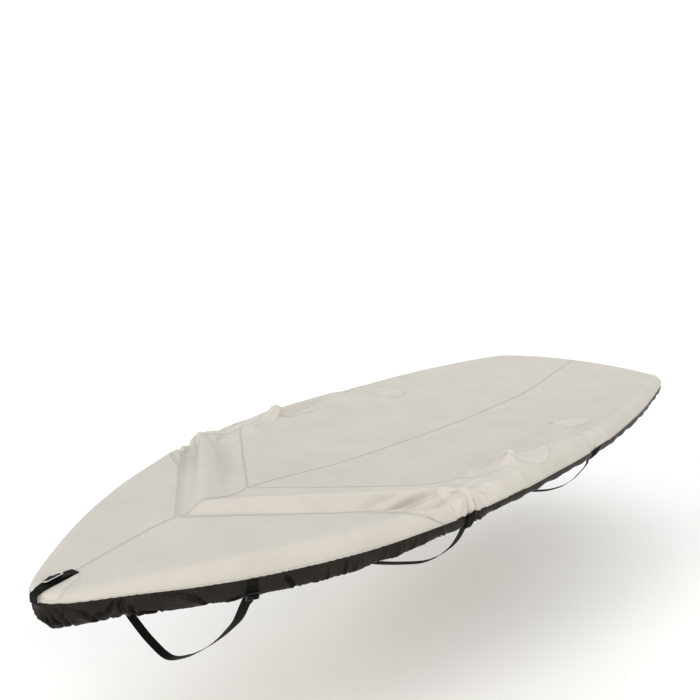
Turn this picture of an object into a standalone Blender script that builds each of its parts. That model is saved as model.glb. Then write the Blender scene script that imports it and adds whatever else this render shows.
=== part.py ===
"""Deck cover for a two-person sailing dinghy, in the form it takes when strapped on its boat.

The boat itself is left out, so the cover is a hollow shell. Six cloth panels make the top, a
black gathered skirt hangs below their edge, and three belly straps pass under the hull.

Work frame: x forward from the transom, y to port, z up from the height of the gunwale.
The finished objects are moved so that the origin lies under the top at mid-length.
"""
import math
from collections import namedtuple

import bmesh
import bpy
import numpy as np
from mathutils import Vector

# ---- Driving dimensions, in metres -------------------------------------------------------

LENGTH = 4.075            # transom crown to stem
CLOTH = 0.0010            # coated canvas of the top, with its seam allowance
SKIRT_CLOTH = 0.0012      # gathered nylon of the skirt
PATCH_CLOTH = 0.0010      # reinforcement patches
GAP = 0.0004              # clearance between sewn pieces
SEAM_GAP = 0.0012         # clearance across the chevron seams, which fold over the ridge
CENTRE_GAP = 0.0020       # clearance along the peaked centre seam
SKIRT_GAP = 0.0010        # clearance below the edge of the top
ROLL = 0.055              # how far the top's rolled edge reaches outboard
STEM_HALF = 0.010         # half-width of the blunt stem, behind the bow webbing
SPLIT = 0.0018            # half-gap between the two halves of the skirt

WEBBING = 0.0015          # thickness of every webbing
STRAP_WIDTH = 0.038       # every webbing is the same stock
MOUNT_X = 2.025           # mid-length, where the cover is held

# The chevron seams: where each meets the centre line and the rim.
Seam = namedtuple("Seam", "u centre_x rim_x")
SEAMS = (
    Seam(0.0, LENGTH, LENGTH),     # stem
    Seam(1.0, 3.497, 2.890),       # aft end of the foredeck
    Seam(2.0, 3.130, 2.430),       # aft end of the breakwater insert
    Seam(3.0, 0.0, 0.0),           # transom crown
)
TRANSOM_U = 3.0
HEM_U = 4.0
HEM_V = 2.0

# Plan of the outer edge, the height of its crown and how far its lower edge hangs below.
Rim = namedtuple("Rim", "x half_beam height drop")
RIM = (
    Rim(0.00, 0.572, 0.012, 0.068),
    Rim(0.30, 0.630, 0.024, 0.068),
    Rim(0.60, 0.680, 0.028, 0.070),
    Rim(1.00, 0.730, 0.031, 0.068),
    Rim(1.40, 0.757, 0.034, 0.072),
    Rim(1.80, 0.767, 0.040, 0.070),
    Rim(2.20, 0.758, 0.047, 0.070),
    Rim(2.60, 0.728, 0.053, 0.070),
    Rim(2.90, 0.666, 0.050, 0.072),
    Rim(3.20, 0.572, 0.044, 0.074),
    Rim(3.50, 0.436, 0.043, 0.074),
    Rim(3.70, 0.324, 0.036, 0.063),
    Rim(3.85, 0.227, 0.025, 0.045),
    Rim(3.95, 0.158, 0.016, 0.034),
    Rim(4.02, 0.102, 0.010, 0.029),
    Rim(4.055, 0.058, 0.005, 0.026),
    Rim(LENGTH, STEM_HALF, 0.001, 0.026),
)

# Height of the centre seam, and how the deck bends from it out to the crown (1 is straight).
Spine = namedtuple("Spine", "x height bend")
SPINE = (
    Spine(0.00, 0.042, 2.2),
    Spine(0.20, 0.019, 2.2),
    Spine(0.45, -0.008, 2.0),
    Spine(0.77, -0.038, 2.0),
    Spine(1.26, -0.041, 2.0),
    Spine(1.69, -0.030, 2.0),
    Spine(2.06, -0.016, 2.0),
    Spine(2.61, 0.016, 1.8),
    Spine(2.81, 0.039, 1.5),
    Spine(3.13, 0.064, 1.2),
    Spine(3.497, 0.065, 1.1),
    Spine(3.92, 0.022, 1.1),
    Spine(3.99, 0.015, 1.1),
    Spine(4.055, 0.009, 1.1),
    Spine(LENGTH, 0.002, 1.1),
)

# Section of the breakwater ridge across the insert, from its fore seam to its aft seam.
Ridge = namedtuple("Ridge", "across rise")
RIDGE = (
    Ridge(0.00, 0.00),
    Ridge(0.12, -0.22),
    Ridge(0.36, 1.00),
    Ridge(0.56, 0.42),
    Ridge(0.80, -0.18),
    Ridge(1.00, 0.00),
)
# Height of that ridge from the centre line out to the rim.
RidgeRun = namedtuple("RidgeRun", "outboard height")
RIDGE_RUN = (
    RidgeRun(0.00, 0.022),
    RidgeRun(0.30, 0.033),
    RidgeRun(0.60, 0.040),
    RidgeRun(0.86, 0.042),
    RidgeRun(1.00, 0.022),
    RidgeRun(1.50, 0.000),
)

# Straight folds: a ridge if it lifts, a trough if it sinks. A girth is measured from the
# centre line out over the crown. Side 1 is port, -1 starboard and 0 both.
Fold = namedtuple("Fold", "side x0 girth0 x1 girth1 lift0 lift1 width")
FOLDS = (
    Fold(0, 2.210, 0.640, 1.640, 0.715, 0.026, 0.006, 0.055),    # side deck, aft of the tent
    Fold(0, 2.230, 0.640, 2.450, 0.585, 0.024, 0.014, 0.045),    # side deck, forward of it
    Fold(0, 2.450, 0.585, 2.700, 0.590, 0.014, 0.012, 0.050),    # on to the breakwater
    Fold(0, 2.420, 0.650, 2.560, 0.660, -0.007, -0.008, 0.035),  # hollow below that crest
    Fold(1, 2.700, 0.560, 2.960, 0.500, -0.012, -0.002, 0.030),  # trough down the breakwater
    Fold(-1, 2.730, 0.590, 2.900, 0.520, -0.014, -0.004, 0.030),
    Fold(1, 2.930, 0.575, 3.254, 0.245, -0.018, -0.010, 0.055),  # hollow ahead of the seam
)

# Places where a fitting on the deck pokes the cloth up.
Tent = namedtuple("Tent", "side x girth lift reach_fore reach_aft reach_side")
TENTS = (
    Tent(0, 2.215, 0.645, 0.012, 0.050, 0.090, 0.045),     # chainplate
    Tent(0, 1.430, 0.500, 0.026, 0.045, 0.140, 0.060),     # jib cleat
    Tent(0, 1.520, 0.470, -0.008, 0.050, 0.040, 0.045),    # dent ahead of the cleat
)

# How the skirt hangs: visible drop and how far its elastic hem is drawn in under the rim.
Hang = namedtuple("Hang", "x drop tuck")
HANGS = (
    Hang(0.00, 0.030, 0.022),
    Hang(0.60, 0.036, 0.026),
    Hang(1.20, 0.034, 0.030),
    Hang(1.80, 0.033, 0.030),
    Hang(2.40, 0.036, 0.030),
    Hang(2.90, 0.053, 0.030),
    Hang(3.20, 0.065, 0.030),
    Hang(3.70, 0.073, 0.032),
    Hang(3.95, 0.077, 0.045),
    Hang(LENGTH, 0.098, 0.075),
)

# Gathers of the skirt: a few long irregular waves, by wavelength along the hem.
Wave = namedtuple("Wave", "length phase depth")
WAVES = (
    Wave(0.150, 0.4, 0.0050),
    Wave(0.213, 1.9, 0.0040),
    Wave(0.347, 3.1, 0.0030),
)
SKIRT_STEP = 0.034        # spacing of the skirt's columns
SKIRT_ROWS = 4

# The belly straps. Heights of the hull's skin that each one passed round, by half-width.
# A strap's outer face stands off the skirt, over its tab. A buckle sits at a run down it,
# and the strap's loose tail leans forward from there and rises.
Strap = namedtuple("Strap", "name x stand buckle_run tail_lean tail_rise section")
Section = namedtuple("Section", "half_width height")
STRAPS = (
    Strap("fore", 3.555, 0.0034, 0.058, 0.026, 0.022, (
        Section(0.372, -0.130), Section(0.340, -0.192), Section(0.300, -0.240),
        Section(0.244, -0.297), Section(0.169, -0.358), Section(0.090, -0.408),
        Section(0.000, -0.440))),
    Strap("mid", 2.680, 0.0049, 0.058, 0.018, 0.082, (
        Section(0.680, -0.095), Section(0.655, -0.142), Section(0.620, -0.184),
        Section(0.560, -0.234), Section(0.470, -0.276), Section(0.250, -0.330),
        Section(0.000, -0.352))),
    Strap("aft", 1.560, 0.0049, 0.051, 0.016, 0.074, (
        Section(0.728, -0.112), Section(0.696, -0.160), Section(0.655, -0.210),
        Section(0.590, -0.258), Section(0.480, -0.298), Section(0.250, -0.335),
        Section(0.000, -0.348))),
)
STRAP_STEP = 0.045        # spacing of a strap's cross-lines
STRAP_LOWER = 0.006       # how far below the top's edge each strap starts
CALM = 0.060              # the skirt lies flat this far either side of a strap
TAB_HEIGHT = 0.045
TAB_WIDTH = 0.040
BUCKLE = (0.048, 0.034, 0.0050)      # width, height, thickness
BUCKLE_BAR = 0.0055
TAIL_WIDTH = 0.034
TAIL_STAND = 0.0015       # off the face of its buckle
TAIL_TWIST = 50.0         # degrees that a tail turns outward by its tip

# Webbing at the bow: along the spine, round the stem and down to the skirt's seam.
BOW_WEBBING_START = 3.925
BOW_STAND = 0.0023        # its outer face, off the centre seam
BOW_WEBBING_HANG = 0.022  # how far it runs down the stem, to the skirt's seam
NOSE_RADIUS = 0.007       # of the webbing where it turns down over the stem
NOSE_STAND = 0.0045       # how far it stands off the stem
ADJUSTER = (0.070, 0.036, 0.0030)    # length, width and thickness of the ladder adjuster
ADJUSTER_BAR = 0.0048
ADJUSTER_X = 4.000                   # its middle

# ---- Small numeric helpers ---------------------------------------------------------------


def slopes(xs, ys):
    """Give the end-safe, non-overshooting slope of a curve at each of its points."""
    steps = np.diff(ys) / np.diff(xs)
    inner = np.where(steps[:-1] * steps[1:] > 0,
                     2 * steps[:-1] * steps[1:] / (steps[:-1] + steps[1:] + 1e-12), 0.0)
    return np.concatenate(([steps[0]], inner, [steps[-1]]))


class Curve:
    """A smooth curve through one column of a table, read by the table's first column."""

    def __init__(self, rows, column):
        self.xs = np.array([row[0] for row in rows])
        self.ys = np.array([getattr(row, column) for row in rows])
        self.slopes = slopes(self.xs, self.ys)

    def __call__(self, x):
        x = min(max(x, self.xs[0]), self.xs[-1])
        i = min(int(np.searchsorted(self.xs, x, side="right")) - 1, len(self.xs) - 2)
        width = self.xs[i + 1] - self.xs[i]
        t = (x - self.xs[i]) / width
        start = self.ys[i] * (1 + 2 * t) + self.slopes[i] * width * t
        end = self.ys[i + 1] * (3 - 2 * t) - self.slopes[i + 1] * width * (1 - t)
        return float(start * (1 - t) ** 2 + end * t * t)


half_beam = Curve(RIM, "half_beam")
rim_height = Curve(RIM, "height")
edge_drop = Curve(RIM, "drop")
spine_height = Curve(SPINE, "height")
spine_bend = Curve(SPINE, "bend")
ridge_rise = Curve(RIDGE, "rise")
ridge_height = Curve(RIDGE_RUN, "height")
skirt_drop = Curve(HANGS, "drop")
skirt_tuck = Curve(HANGS, "tuck")


def seam_ends(u):
    """Give the centre and rim stations of the chevron line at u."""
    us = [seam.u for seam in SEAMS]
    centre = np.interp(u, us, [seam.centre_x for seam in SEAMS])
    rim = np.interp(u, us, [seam.rim_x for seam in SEAMS])
    return float(centre), float(rim)


def roll_at(x):
    """Give how far the rolled edge reaches, which narrows with the bow."""
    return min(ROLL, 0.45 * half_beam(x))


# ---- The top's surface -------------------------------------------------------------------


def deck_height(x, y):
    """Height of the bare deck cloth, peaked forward and sagging over the cockpit."""
    crown = max(half_beam(x) - roll_at(x), 1e-4)
    outboard = min(y / crown, 1.0)
    spine, rim = spine_height(x), rim_height(x)
    return spine + (rim - spine) * outboard ** spine_bend(x)


def fold_lift(fold, x, girth):
    """Rise of one straight fold: full along its line and fading to nothing beside it."""
    dx, dg = fold.x1 - fold.x0, fold.girth1 - fold.girth0
    length = math.hypot(dx, dg)
    along = ((x - fold.x0) * dx + (girth - fold.girth0) * dg) / length
    beside = ((girth - fold.girth0) * dx - (x - fold.x0) * dg) / length
    held = min(max(along / length, 0.0), 1.0)
    past = along - held * length
    distance = math.hypot(beside, past) / fold.width
    return (fold.lift0 + (fold.lift1 - fold.lift0) * held) * math.exp(-distance ** 1.6)


def tent_lift(tent, x, girth):
    """Rise of the cloth round one poking fitting, steep forward and drawn out aft."""
    reach = tent.reach_fore if x > tent.x else tent.reach_aft
    distance = math.hypot((x - tent.x) / reach, (girth - tent.girth) / tent.reach_side)
    return tent.lift * math.exp(-distance ** 1.5)


def relief(u, x, girth, outboard, side):
    """Rise of the cloth off the bare deck at one place."""
    rise = 0.0
    if 1.0 < u < 2.0:
        rise += ridge_rise(u - 1.0) * ridge_height(outboard)
    for fold in FOLDS:
        if fold.side in (0, side):
            rise += fold_lift(fold, x, girth)
    for tent in TENTS:
        if tent.side in (0, side):
            rise += tent_lift(tent, x, girth)
    return rise


def cover_point(u, v, side):
    """Give the outer face of the top at chevron u and outboard place v, in the work frame.

    v runs from 0 on the centre line to 1 on the crown and 2 on the lower edge. u runs from 0
    at the stem to 3 on the transom's crown and 4 on its lower edge.
    """
    centre_x, rim_x = seam_ends(min(u, TRANSOM_U))
    roll = roll_at(rim_x)
    inner = min(v, 1.0)
    side_turn = math.pi / 2 * min(max(v - 1.0, 0.0), 1.0)
    end_turn = math.pi / 2 * min(max(u - TRANSOM_U, 0.0), 1.0)
    x = centre_x + (rim_x - centre_x) * inner
    y = inner * (half_beam(rim_x) - roll)
    drop = edge_drop(rim_x)
    fall = drop * (1.0 - math.cos(side_turn) * math.cos(end_turn))
    z = deck_height(x, y) - fall
    spread_y, spread_x = math.sin(side_turn), math.sin(end_turn)
    spread = roll / max(1.0, math.hypot(spread_y, spread_x))
    outward = Vector((-spread_x, side * spread_y, math.cos(side_turn) * math.cos(end_turn)))
    rise = relief(u, x, y + drop * side_turn * 2 / math.pi, v, side)
    clear = CENTRE_GAP / 2 if u > 0.0 else CENTRE_GAP
    point = Vector((x - spread * spread_x, side * max(y + spread * spread_y, clear), z))
    return point + outward.normalized() * rise


# ---- Mesh and object helpers -------------------------------------------------------------


def clear_scene():
    """Remove every object, so that the file can be run again."""
    for item in list(bpy.data.objects):
        bpy.data.objects.remove(item, do_unlink=True)


def make_collection(name):
    """Make a collection under the scene's own."""
    collection = bpy.data.collections.new(name)
    bpy.context.scene.collection.children.link(collection)
    return collection


def make_material(name, colour, roughness, metallic=0.0):
    """Make a plain Principled material from linear colour, roughness and metallic."""
    material = bpy.data.materials.new(name)
    material.use_nodes = True
    shader = material.node_tree.nodes["Principled BSDF"]
    shader.inputs["Base Color"].default_value = (*colour, 1.0)
    shader.inputs["Roughness"].default_value = roughness
    shader.inputs["Metallic"].default_value = metallic
    return material


def add_mesh_object(name, vertices, faces, material, collection):
    """Make one mesh object in the part frame."""
    mesh = bpy.data.meshes.new(name)
    shifted = [Vector(vertex) - ORIGIN for vertex in vertices]
    mesh.from_pydata(shifted, [], faces)
    mesh.update()
    item = bpy.data.objects.new(name, mesh)
    item.data.materials.append(material)
    collection.objects.link(item)
    return item


def grid_faces(lines, columns, flip):
    """Give the triangles of a grid of points that is stored line by line.

    The diagonals lean by the line's own value, so that copies of a few lines match the whole.
    """
    faces = []
    for i, line in enumerate(lines[:-1]):
        lean = int(round(line * 1000)) % 2
        for j in range(columns - 1):
            a, b = i * columns + j, i * columns + j + 1
            c, d = a + columns, b + columns
            pair = ((a, b, d), (a, d, c)) if (lean + j) % 2 else ((a, b, c), (b, d, c))
            faces.extend(tuple(reversed(tri)) if flip else tri for tri in pair)
    return faces


def add_solidify(item, thickness, offset):
    """Give an open sheet its thickness: offset -1 grows it inward and 1 outward."""
    modifier = item.modifiers.new("Thickness", "SOLIDIFY")
    modifier.thickness = thickness
    modifier.offset = offset
    return modifier


def add_sheet(name, points, flip, thickness, material, collection, lines=None):
    """Make a sheet from rows of points on its outer face, with its cloth inside them."""
    vertices = [point for row in points for point in row]
    faces = grid_faces(lines or range(len(points)), len(points[0]), flip)
    item = add_mesh_object(name, vertices, faces, material, collection)
    add_solidify(item, thickness, -1.0)
    return item


def add_lift(item, height):
    """Raise an open sheet off the cloth that it is sewn to."""
    modifier = item.modifiers.new("Lift", "DISPLACE")
    modifier.strength = height
    modifier.mid_level = 0.0
    return modifier


def add_cut(item, cutter, operation):
    """Cut or trim an item by a closed guide."""
    modifier = item.modifiers.new("Trim", "BOOLEAN")
    modifier.operation = operation
    modifier.object = cutter
    return modifier


def outline_guide(name, outline, guides):
    """Make an upright closed prism over a plan outline, for trimming a patch."""
    curve = bpy.data.curves.new(name, "CURVE")
    curve.dimensions = "2D"
    curve.fill_mode = "BOTH"
    curve.extrude = 0.3
    spline = curve.splines.new("POLY")
    spline.points.add(len(outline) - 1)
    for point, (x, y) in zip(spline.points, outline):
        point.co = (x - ORIGIN.x, y, 0.0, 1.0)
    spline.use_cyclic_u = True
    drawn = bpy.data.objects.new(name, curve)
    guides.objects.link(drawn)
    bpy.context.view_layer.update()
    shape = drawn.evaluated_get(bpy.context.evaluated_depsgraph_get())
    mesh = bpy.data.meshes.new_from_object(shape)
    welded = bmesh.new()
    welded.from_mesh(mesh)
    bmesh.ops.remove_doubles(welded, verts=welded.verts, dist=0.00001)
    bmesh.ops.recalc_face_normals(welded, faces=welded.faces)
    welded.to_mesh(mesh)
    welded.free()
    bpy.data.objects.remove(drawn, do_unlink=True)
    guide = bpy.data.objects.new(name, mesh)
    guide.hide_render = True
    guide.display_type = "WIRE"
    guides.objects.link(guide)
    return guide


def add_block(name, size, centre, axes, material, collection, bevel=0.0):
    """Make a box from a cube, set along three unit axes."""
    cube = bmesh.new()
    bmesh.ops.create_cube(cube, size=1.0)
    across, along, out = axes
    for vertex in cube.verts:
        local = vertex.co.copy()
        place = across * local.x * size[0] + along * local.y * size[1] + out * local.z * size[2]
        vertex.co = place + centre - ORIGIN
    cube.normal_update()
    bmesh.ops.recalc_face_normals(cube, faces=cube.faces)
    mesh = bpy.data.meshes.new(name)
    cube.to_mesh(mesh)
    cube.free()
    item = bpy.data.objects.new(name, mesh)
    item.data.materials.append(material)
    collection.objects.link(item)
    if bevel:
        modifier = item.modifiers.new("Edges", "BEVEL")
        modifier.width = bevel
        modifier.segments = 1
    return item


# ---- Cloth panels ------------------------------------------------------------------------

# The mesh lines of each panel, from stem to transom: an even count between two chevrons.
Panel = namedtuple("Panel", "name spans")
Span = namedtuple("Span", "u0 u1 count")
PANELS = (
    Panel("foredeck", (Span(0.0, 0.02, 1), Span(0.02, 0.10, 3), Span(0.10, 1.0, 9))),
    Panel("insert", (Span(1.0, 1.12, 1), Span(1.12, 1.36, 2), Span(1.36, 2.0, 5))),
    Panel("cockpit", (Span(2.0, 2.24, 6), Span(2.24, 2.36, 2), Span(2.36, 2.56, 5),
                      Span(2.56, TRANSOM_U, 4), Span(TRANSOM_U, HEM_U, 3))),
)
DECK_COLUMNS = (0.0, 0.14, 0.28, 0.42, 0.54, 0.64, 0.73, 0.82, 0.91, 1.0)
ROLL_COLUMNS = (1.36, 1.70, 2.0)
COLUMNS = DECK_COLUMNS + ROLL_COLUMNS


def span_values(spans):
    """List the chevron lines of a panel's spans, each shared line once."""
    values = [spans[0].u0]
    for span in spans:
        step = (span.u1 - span.u0) / span.count
        values.extend(span.u0 + step * (k + 1) for k in range(span.count))
    return values


def cover_grid(us, vs, side, seam_gap=(0.0, 0.0)):
    """Give the points of a patch of the top, its end rows drawn in by the seam gaps."""
    points = [[cover_point(u, v, side) for v in vs] for u in us]
    for row, gap in ((points[0], -seam_gap[0]), (points[-1], seam_gap[1])):
        for point in row:
            point.x += gap
    return points


def side_name(side):
    """Name a side of the boat."""
    return "port" if side > 0 else "starboard"


def build_panels(material, collection):
    """Cut the six cloth panels of the top, three on each side of the centre seam."""
    for side in (1, -1):
        for panel in PANELS:
            first = 0.0 if panel.name == "foredeck" else SEAM_GAP / 2
            last = 0.0 if panel.name == "cockpit" else SEAM_GAP / 2
            lines = span_values(panel.spans)
            points = cover_grid(lines, COLUMNS, side, (first, last))
            name = f"{panel.name}_{side_name(side)}"
            add_sheet(name, points, side < 0, CLOTH, material, collection, lines)


# ---- Reinforcement patches ---------------------------------------------------------------

# Each patch copies part of the top, between two chevron lines, raised off it and trimmed to
# a plan outline.
Patch = namedtuple("Patch", "name first last outline")


def arc_points(centre, radii, start, end, count):
    """Give points on an elliptic arc in plan, angles in degrees from +x towards +y."""
    points = []
    for k in range(count + 1):
        angle = math.radians(start + (end - start) * k / count)
        points.append((centre[0] + radii[0] * math.cos(angle),
                       centre[1] + radii[1] * math.sin(angle)))
    return points


def turned_ellipse(centre, radii, turn, count=20):
    """Give an ellipse in plan, turned by an angle in degrees."""
    sine, cosine = math.sin(math.radians(turn)), math.cos(math.radians(turn))
    return [(centre[0] + x * cosine - y * sine, centre[1] + x * sine + y * cosine)
            for x, y in arc_points((0.0, 0.0), radii, 0, 360 - 360 / count, count - 1)]


def tongue_outline():
    """Outline the tongue over the chainplate: square forward and round aft."""
    aft_end = arc_points((1.965, 0.636), (0.080, 0.062), 90, 270, 8)
    return [(2.190, 0.682), *aft_end, (2.200, 0.606)]


def shroud_outline():
    """Outline the large patch by the middle strap, with a bowed seam at each end."""
    fore_end = [(2.775, 0.640), (2.770, 0.675), (2.755, 0.720), (2.750, 0.900)]
    aft_end = arc_points((2.215, 0.760), (0.065, 0.100), 70, -40, 5)
    return [(2.330, 0.656), (2.452, 0.633), (2.545, 0.612), (2.660, 0.610), (2.778, 0.612),
            *fore_end, (2.330, 0.900), *aft_end]


def strip_outline():
    """Outline the strip over the edge by the aft strap, from just inboard of the crown."""
    return [(1.610, 0.690), (1.585, 0.700), (1.400, 0.706), (1.378, 0.698),
            (1.352, 0.900), (1.600, 0.900)]


BOW_PATCH_OUTLINE = ((3.905, 0.0225), (3.925, 0.040), (3.985, 0.070), (4.040, 0.120),
                     (4.068, 0.120), (4.068, 0.0225))
PATCHES = (
    Patch("bow_patch", 0.02, 0.40, BOW_PATCH_OUTLINE),
    Patch("shroud_patch", 1.12, 2.20, shroud_outline()),
    Patch("tongue_patch", 2.04, 2.36, tongue_outline()),
    Patch("cleat_patch", 2.36, 2.671, turned_ellipse((1.330, 0.545), (0.135, 0.082), -24)),
    Patch("aft_patch", 2.24, 2.56, strip_outline()),
)


def panel_lines(first, last):
    """List the chevron lines of every panel that lie within a range."""
    lines = set()
    for panel in PANELS:
        lines.update(round(u, 6) for u in span_values(panel.spans))
    return sorted(u for u in lines if first - 1e-6 <= u <= last + 1e-6)


def build_patches(material, collection, guides):
    """Sew the reinforcement patches on each side of the top."""
    for side in (1, -1):
        for patch in PATCHES:
            name = f"{patch.name}_{side_name(side)}"
            lines = panel_lines(patch.first, patch.last)
            points = cover_grid(lines, COLUMNS, side)
            faces = grid_faces(lines, len(COLUMNS), side < 0)
            vertices = [point for row in points for point in row]
            item = add_mesh_object(name, vertices, faces, material, collection)
            add_lift(item, GAP)
            add_solidify(item, PATCH_CLOTH, 1.0)
            outline = [(x, side * y) for x, y in patch.outline]
            add_cut(item, outline_guide(f"{name}_outline", outline, guides), "INTERSECT")


# ---- The gathered skirt ------------------------------------------------------------------


def hem_path(side):
    """Walk the top's lower edge from the stem round to the middle of the transom.

    Returns rows of (point, distance from the stem).
    """
    corners = [(u, HEM_V) for u in panel_lines(0.0, HEM_U)]
    corners += [(HEM_U, v) for v in reversed(COLUMNS[:-1])]
    points = [cover_point(u, v, side) for u, v in corners]
    points.insert(0, Vector((points[0].x, side * SPLIT, points[0].z)))
    lengths = [0.0]
    for before, after in zip(points, points[1:]):
        lengths.append(lengths[-1] + (after - before).length)
    count = int(round(lengths[-1] / SKIRT_STEP))
    rows = []
    for k in range(count + 1):
        distance = lengths[-1] * k / count
        i = min(int(np.searchsorted(lengths, distance, side="right")) - 1, len(points) - 2)
        share = (distance - lengths[i]) / (lengths[i + 1] - lengths[i])
        rows.append((points[i].lerp(points[i + 1], share), distance))
    return rows


def plan_outward(before, after, side):
    """Give the outward direction in plan of a path that runs aft down one side."""
    along = after - before
    outward = Vector((side * along.y, -side * along.x, 0.0))
    return outward.normalized()


def calm_near_straps(x):
    """Give 0 at a strap and 1 well away from every strap."""
    calm = 1.0
    for strap in STRAPS:
        calm = min(calm, 1.0 - math.exp(-((x - strap.x) / CALM) ** 4))
    return calm


def gather(distance, side):
    """Give the depth of the skirt's waves at a distance along its hem."""
    total = 0.0
    for wave in WAVES:
        phase = wave.phase + (0.0 if side > 0 else 1.3)
        total += wave.depth * math.sin(2 * math.pi * distance / wave.length + phase)
    return total


def skirt_column(point, outward, distance, side):
    """Give one column of the skirt, from the top's edge down and in to the elastic."""
    station = max(point.x, 0.0)
    drop, tuck = skirt_drop(station), skirt_tuck(station)
    calm = calm_near_straps(point.x) * min(1.0, distance / 0.05)
    near_middle = min(1.0, abs(point.y) / 0.06)
    column = []
    for k in range(SKIRT_ROWS):
        down = k / (SKIRT_ROWS - 1)
        swell = 0.004 * math.sin(math.pi * down) * calm
        wave = gather(distance, side) * calm * down
        out = swell + wave - tuck * down ** 2
        place = point + Vector((outward.x * out, outward.y * out * near_middle, 0.0))
        place.z -= SKIRT_GAP + drop * math.sin(math.pi / 2 * min(down * 1.15, 1.0)) + 0.3 * wave
        place.y = side * max(side * place.y, SPLIT)
        column.append(place)
    return column


def skirt_columns(side):
    """Give every column of one half of the skirt."""
    path = hem_path(side)
    columns = []
    for k, (point, distance) in enumerate(path):
        before = path[max(k - 1, 0)][0]
        after = path[min(k + 1, len(path) - 1)][0]
        columns.append(skirt_column(point, plan_outward(before, after, side), distance, side))
    return columns


def column_at(columns, x):
    """Give the skirt's column at a station between two of its own."""
    after = next(k for k, column in enumerate(columns) if column[0].x < x)
    ahead, behind = columns[after - 1], columns[after]
    share = (ahead[0].x - x) / (ahead[0].x - behind[0].x)
    return [top.lerp(low, share) for top, low in zip(ahead, behind)]


def build_skirts(material, collection):
    """Gather the two halves of the skirt, which meet at the stem and behind the transom.

    Each half is two lengths of nylon, joined out of sight under the middle strap's tab.
    """
    for side in (1, -1):
        columns = skirt_columns(side)
        join = next(strap.x for strap in STRAPS if strap.name == "mid")
        fore = [column for column in columns if column[0].x > join + GAP]
        aft = [column for column in columns if column[0].x < join - GAP]
        fore.append(column_at(columns, join + GAP / 2))
        aft.insert(0, column_at(columns, join - GAP / 2))
        for name, length in (("fore", fore), ("aft", aft)):
            name = f"skirt_{name}_{side_name(side)}"
            add_sheet(name, length, side < 0, SKIRT_CLOTH, material, collection)


# ---- Belly straps, their tabs, buckles and tails -----------------------------------------


def rim_frame(x, side):
    """Give the edge point, the aft direction and the outward direction at a station."""
    us = np.linspace(0.0, TRANSOM_U, 400)
    rims = [-seam_ends(u)[1] for u in us]
    u = float(np.interp(-x, rims, us))
    point = cover_point(u, HEM_V, side)
    ahead, behind = cover_point(u - 0.01, HEM_V, side), cover_point(u + 0.01, HEM_V, side)
    aft = (behind - ahead)
    aft.z = 0.0
    aft.normalize()
    return point, aft, plan_outward(ahead, behind, side)


def smooth_route(points, step):
    """Give evenly spaced points on a smooth curve through a route's points."""
    dense = []
    padded = [2 * points[0] - points[1], *points, 2 * points[-1] - points[-2]]
    for a, b, c, d in zip(padded, padded[1:], padded[2:], padded[3:]):
        for k in range(12):
            t = k / 12
            dense.append(0.5 * (2 * b + (c - a) * t + (2 * a - 5 * b + 4 * c - d) * t ** 2
                                + (3 * b - a - 3 * c + d) * t ** 3))
    dense.append(points[-1])
    lengths = [0.0]
    for before, after in zip(dense, dense[1:]):
        lengths.append(lengths[-1] + (after - before).length)
    count = max(2, int(round(lengths[-1] / step)))
    route = []
    for k in range(count + 1):
        distance = lengths[-1] * k / count
        i = min(int(np.searchsorted(lengths, distance, side="right")) - 1, len(dense) - 2)
        share = (distance - lengths[i]) / max(lengths[i + 1] - lengths[i], 1e-9)
        route.append(dense[i].lerp(dense[i + 1], share))
    return route


def add_band(name, route, across, width, material, collection):
    """Make webbing along a route, lying across the given direction at each point."""
    points = [[place - wide * width / 2, place + wide * width / 2]
              for place, wide in zip(route, across)]
    return add_sheet(name, points, True, WEBBING, material, collection)


def strap_half(strap, side):
    """Give a strap's outer face over the skirt, then over the hull to the keel."""
    point, aft, outward = rim_frame(strap.x, side)
    column = skirt_column(point, outward, 1.0, side)
    hung = []
    for before, place, after in zip([column[0], *column], column, column[1:]):
        run = after - before
        facing = (outward * -run.z + Vector((0.0, 0.0, run.dot(outward)))).normalized()
        hung.append(place + facing * strap.stand)
    hung[0].z -= STRAP_LOWER
    skin = [Vector((strap.x, side * row.half_width, row.height)) for row in strap.section]
    return hung, skin, aft


def strap_route(strap):
    """Give a strap's route from port to starboard and the way it lies across at each point."""
    port, port_skin, port_aft = strap_half(strap, 1)
    starboard, starboard_skin, starboard_aft = strap_half(strap, -1)
    below = [port[-1], *port_skin, *reversed(starboard_skin[:-1]), starboard[-1]]
    route = [*port[:-1], *smooth_route(below, STRAP_STEP), *reversed(starboard[:-1])]
    across = []
    for place in route:
        edge = port_aft if place.y > 0 else starboard_aft
        depth = (place.z - port[-1].z) / (port_skin[-1].z - port[-1].z)
        level = Vector((-1.0, 0.0, 0.0))
        turn = min(max(2.5 * depth - 0.5, 0.0), 1.0)
        across.append(edge.lerp(level, turn).normalized())
    return route, across


def build_belly_straps(material, collection):
    """Hang the three webbing straps that pass round the hull from side to side."""
    for strap in STRAPS:
        route, across = strap_route(strap)
        add_band(f"belly_strap_{strap.name}", route, across, STRAP_WIDTH, material, collection)


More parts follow.
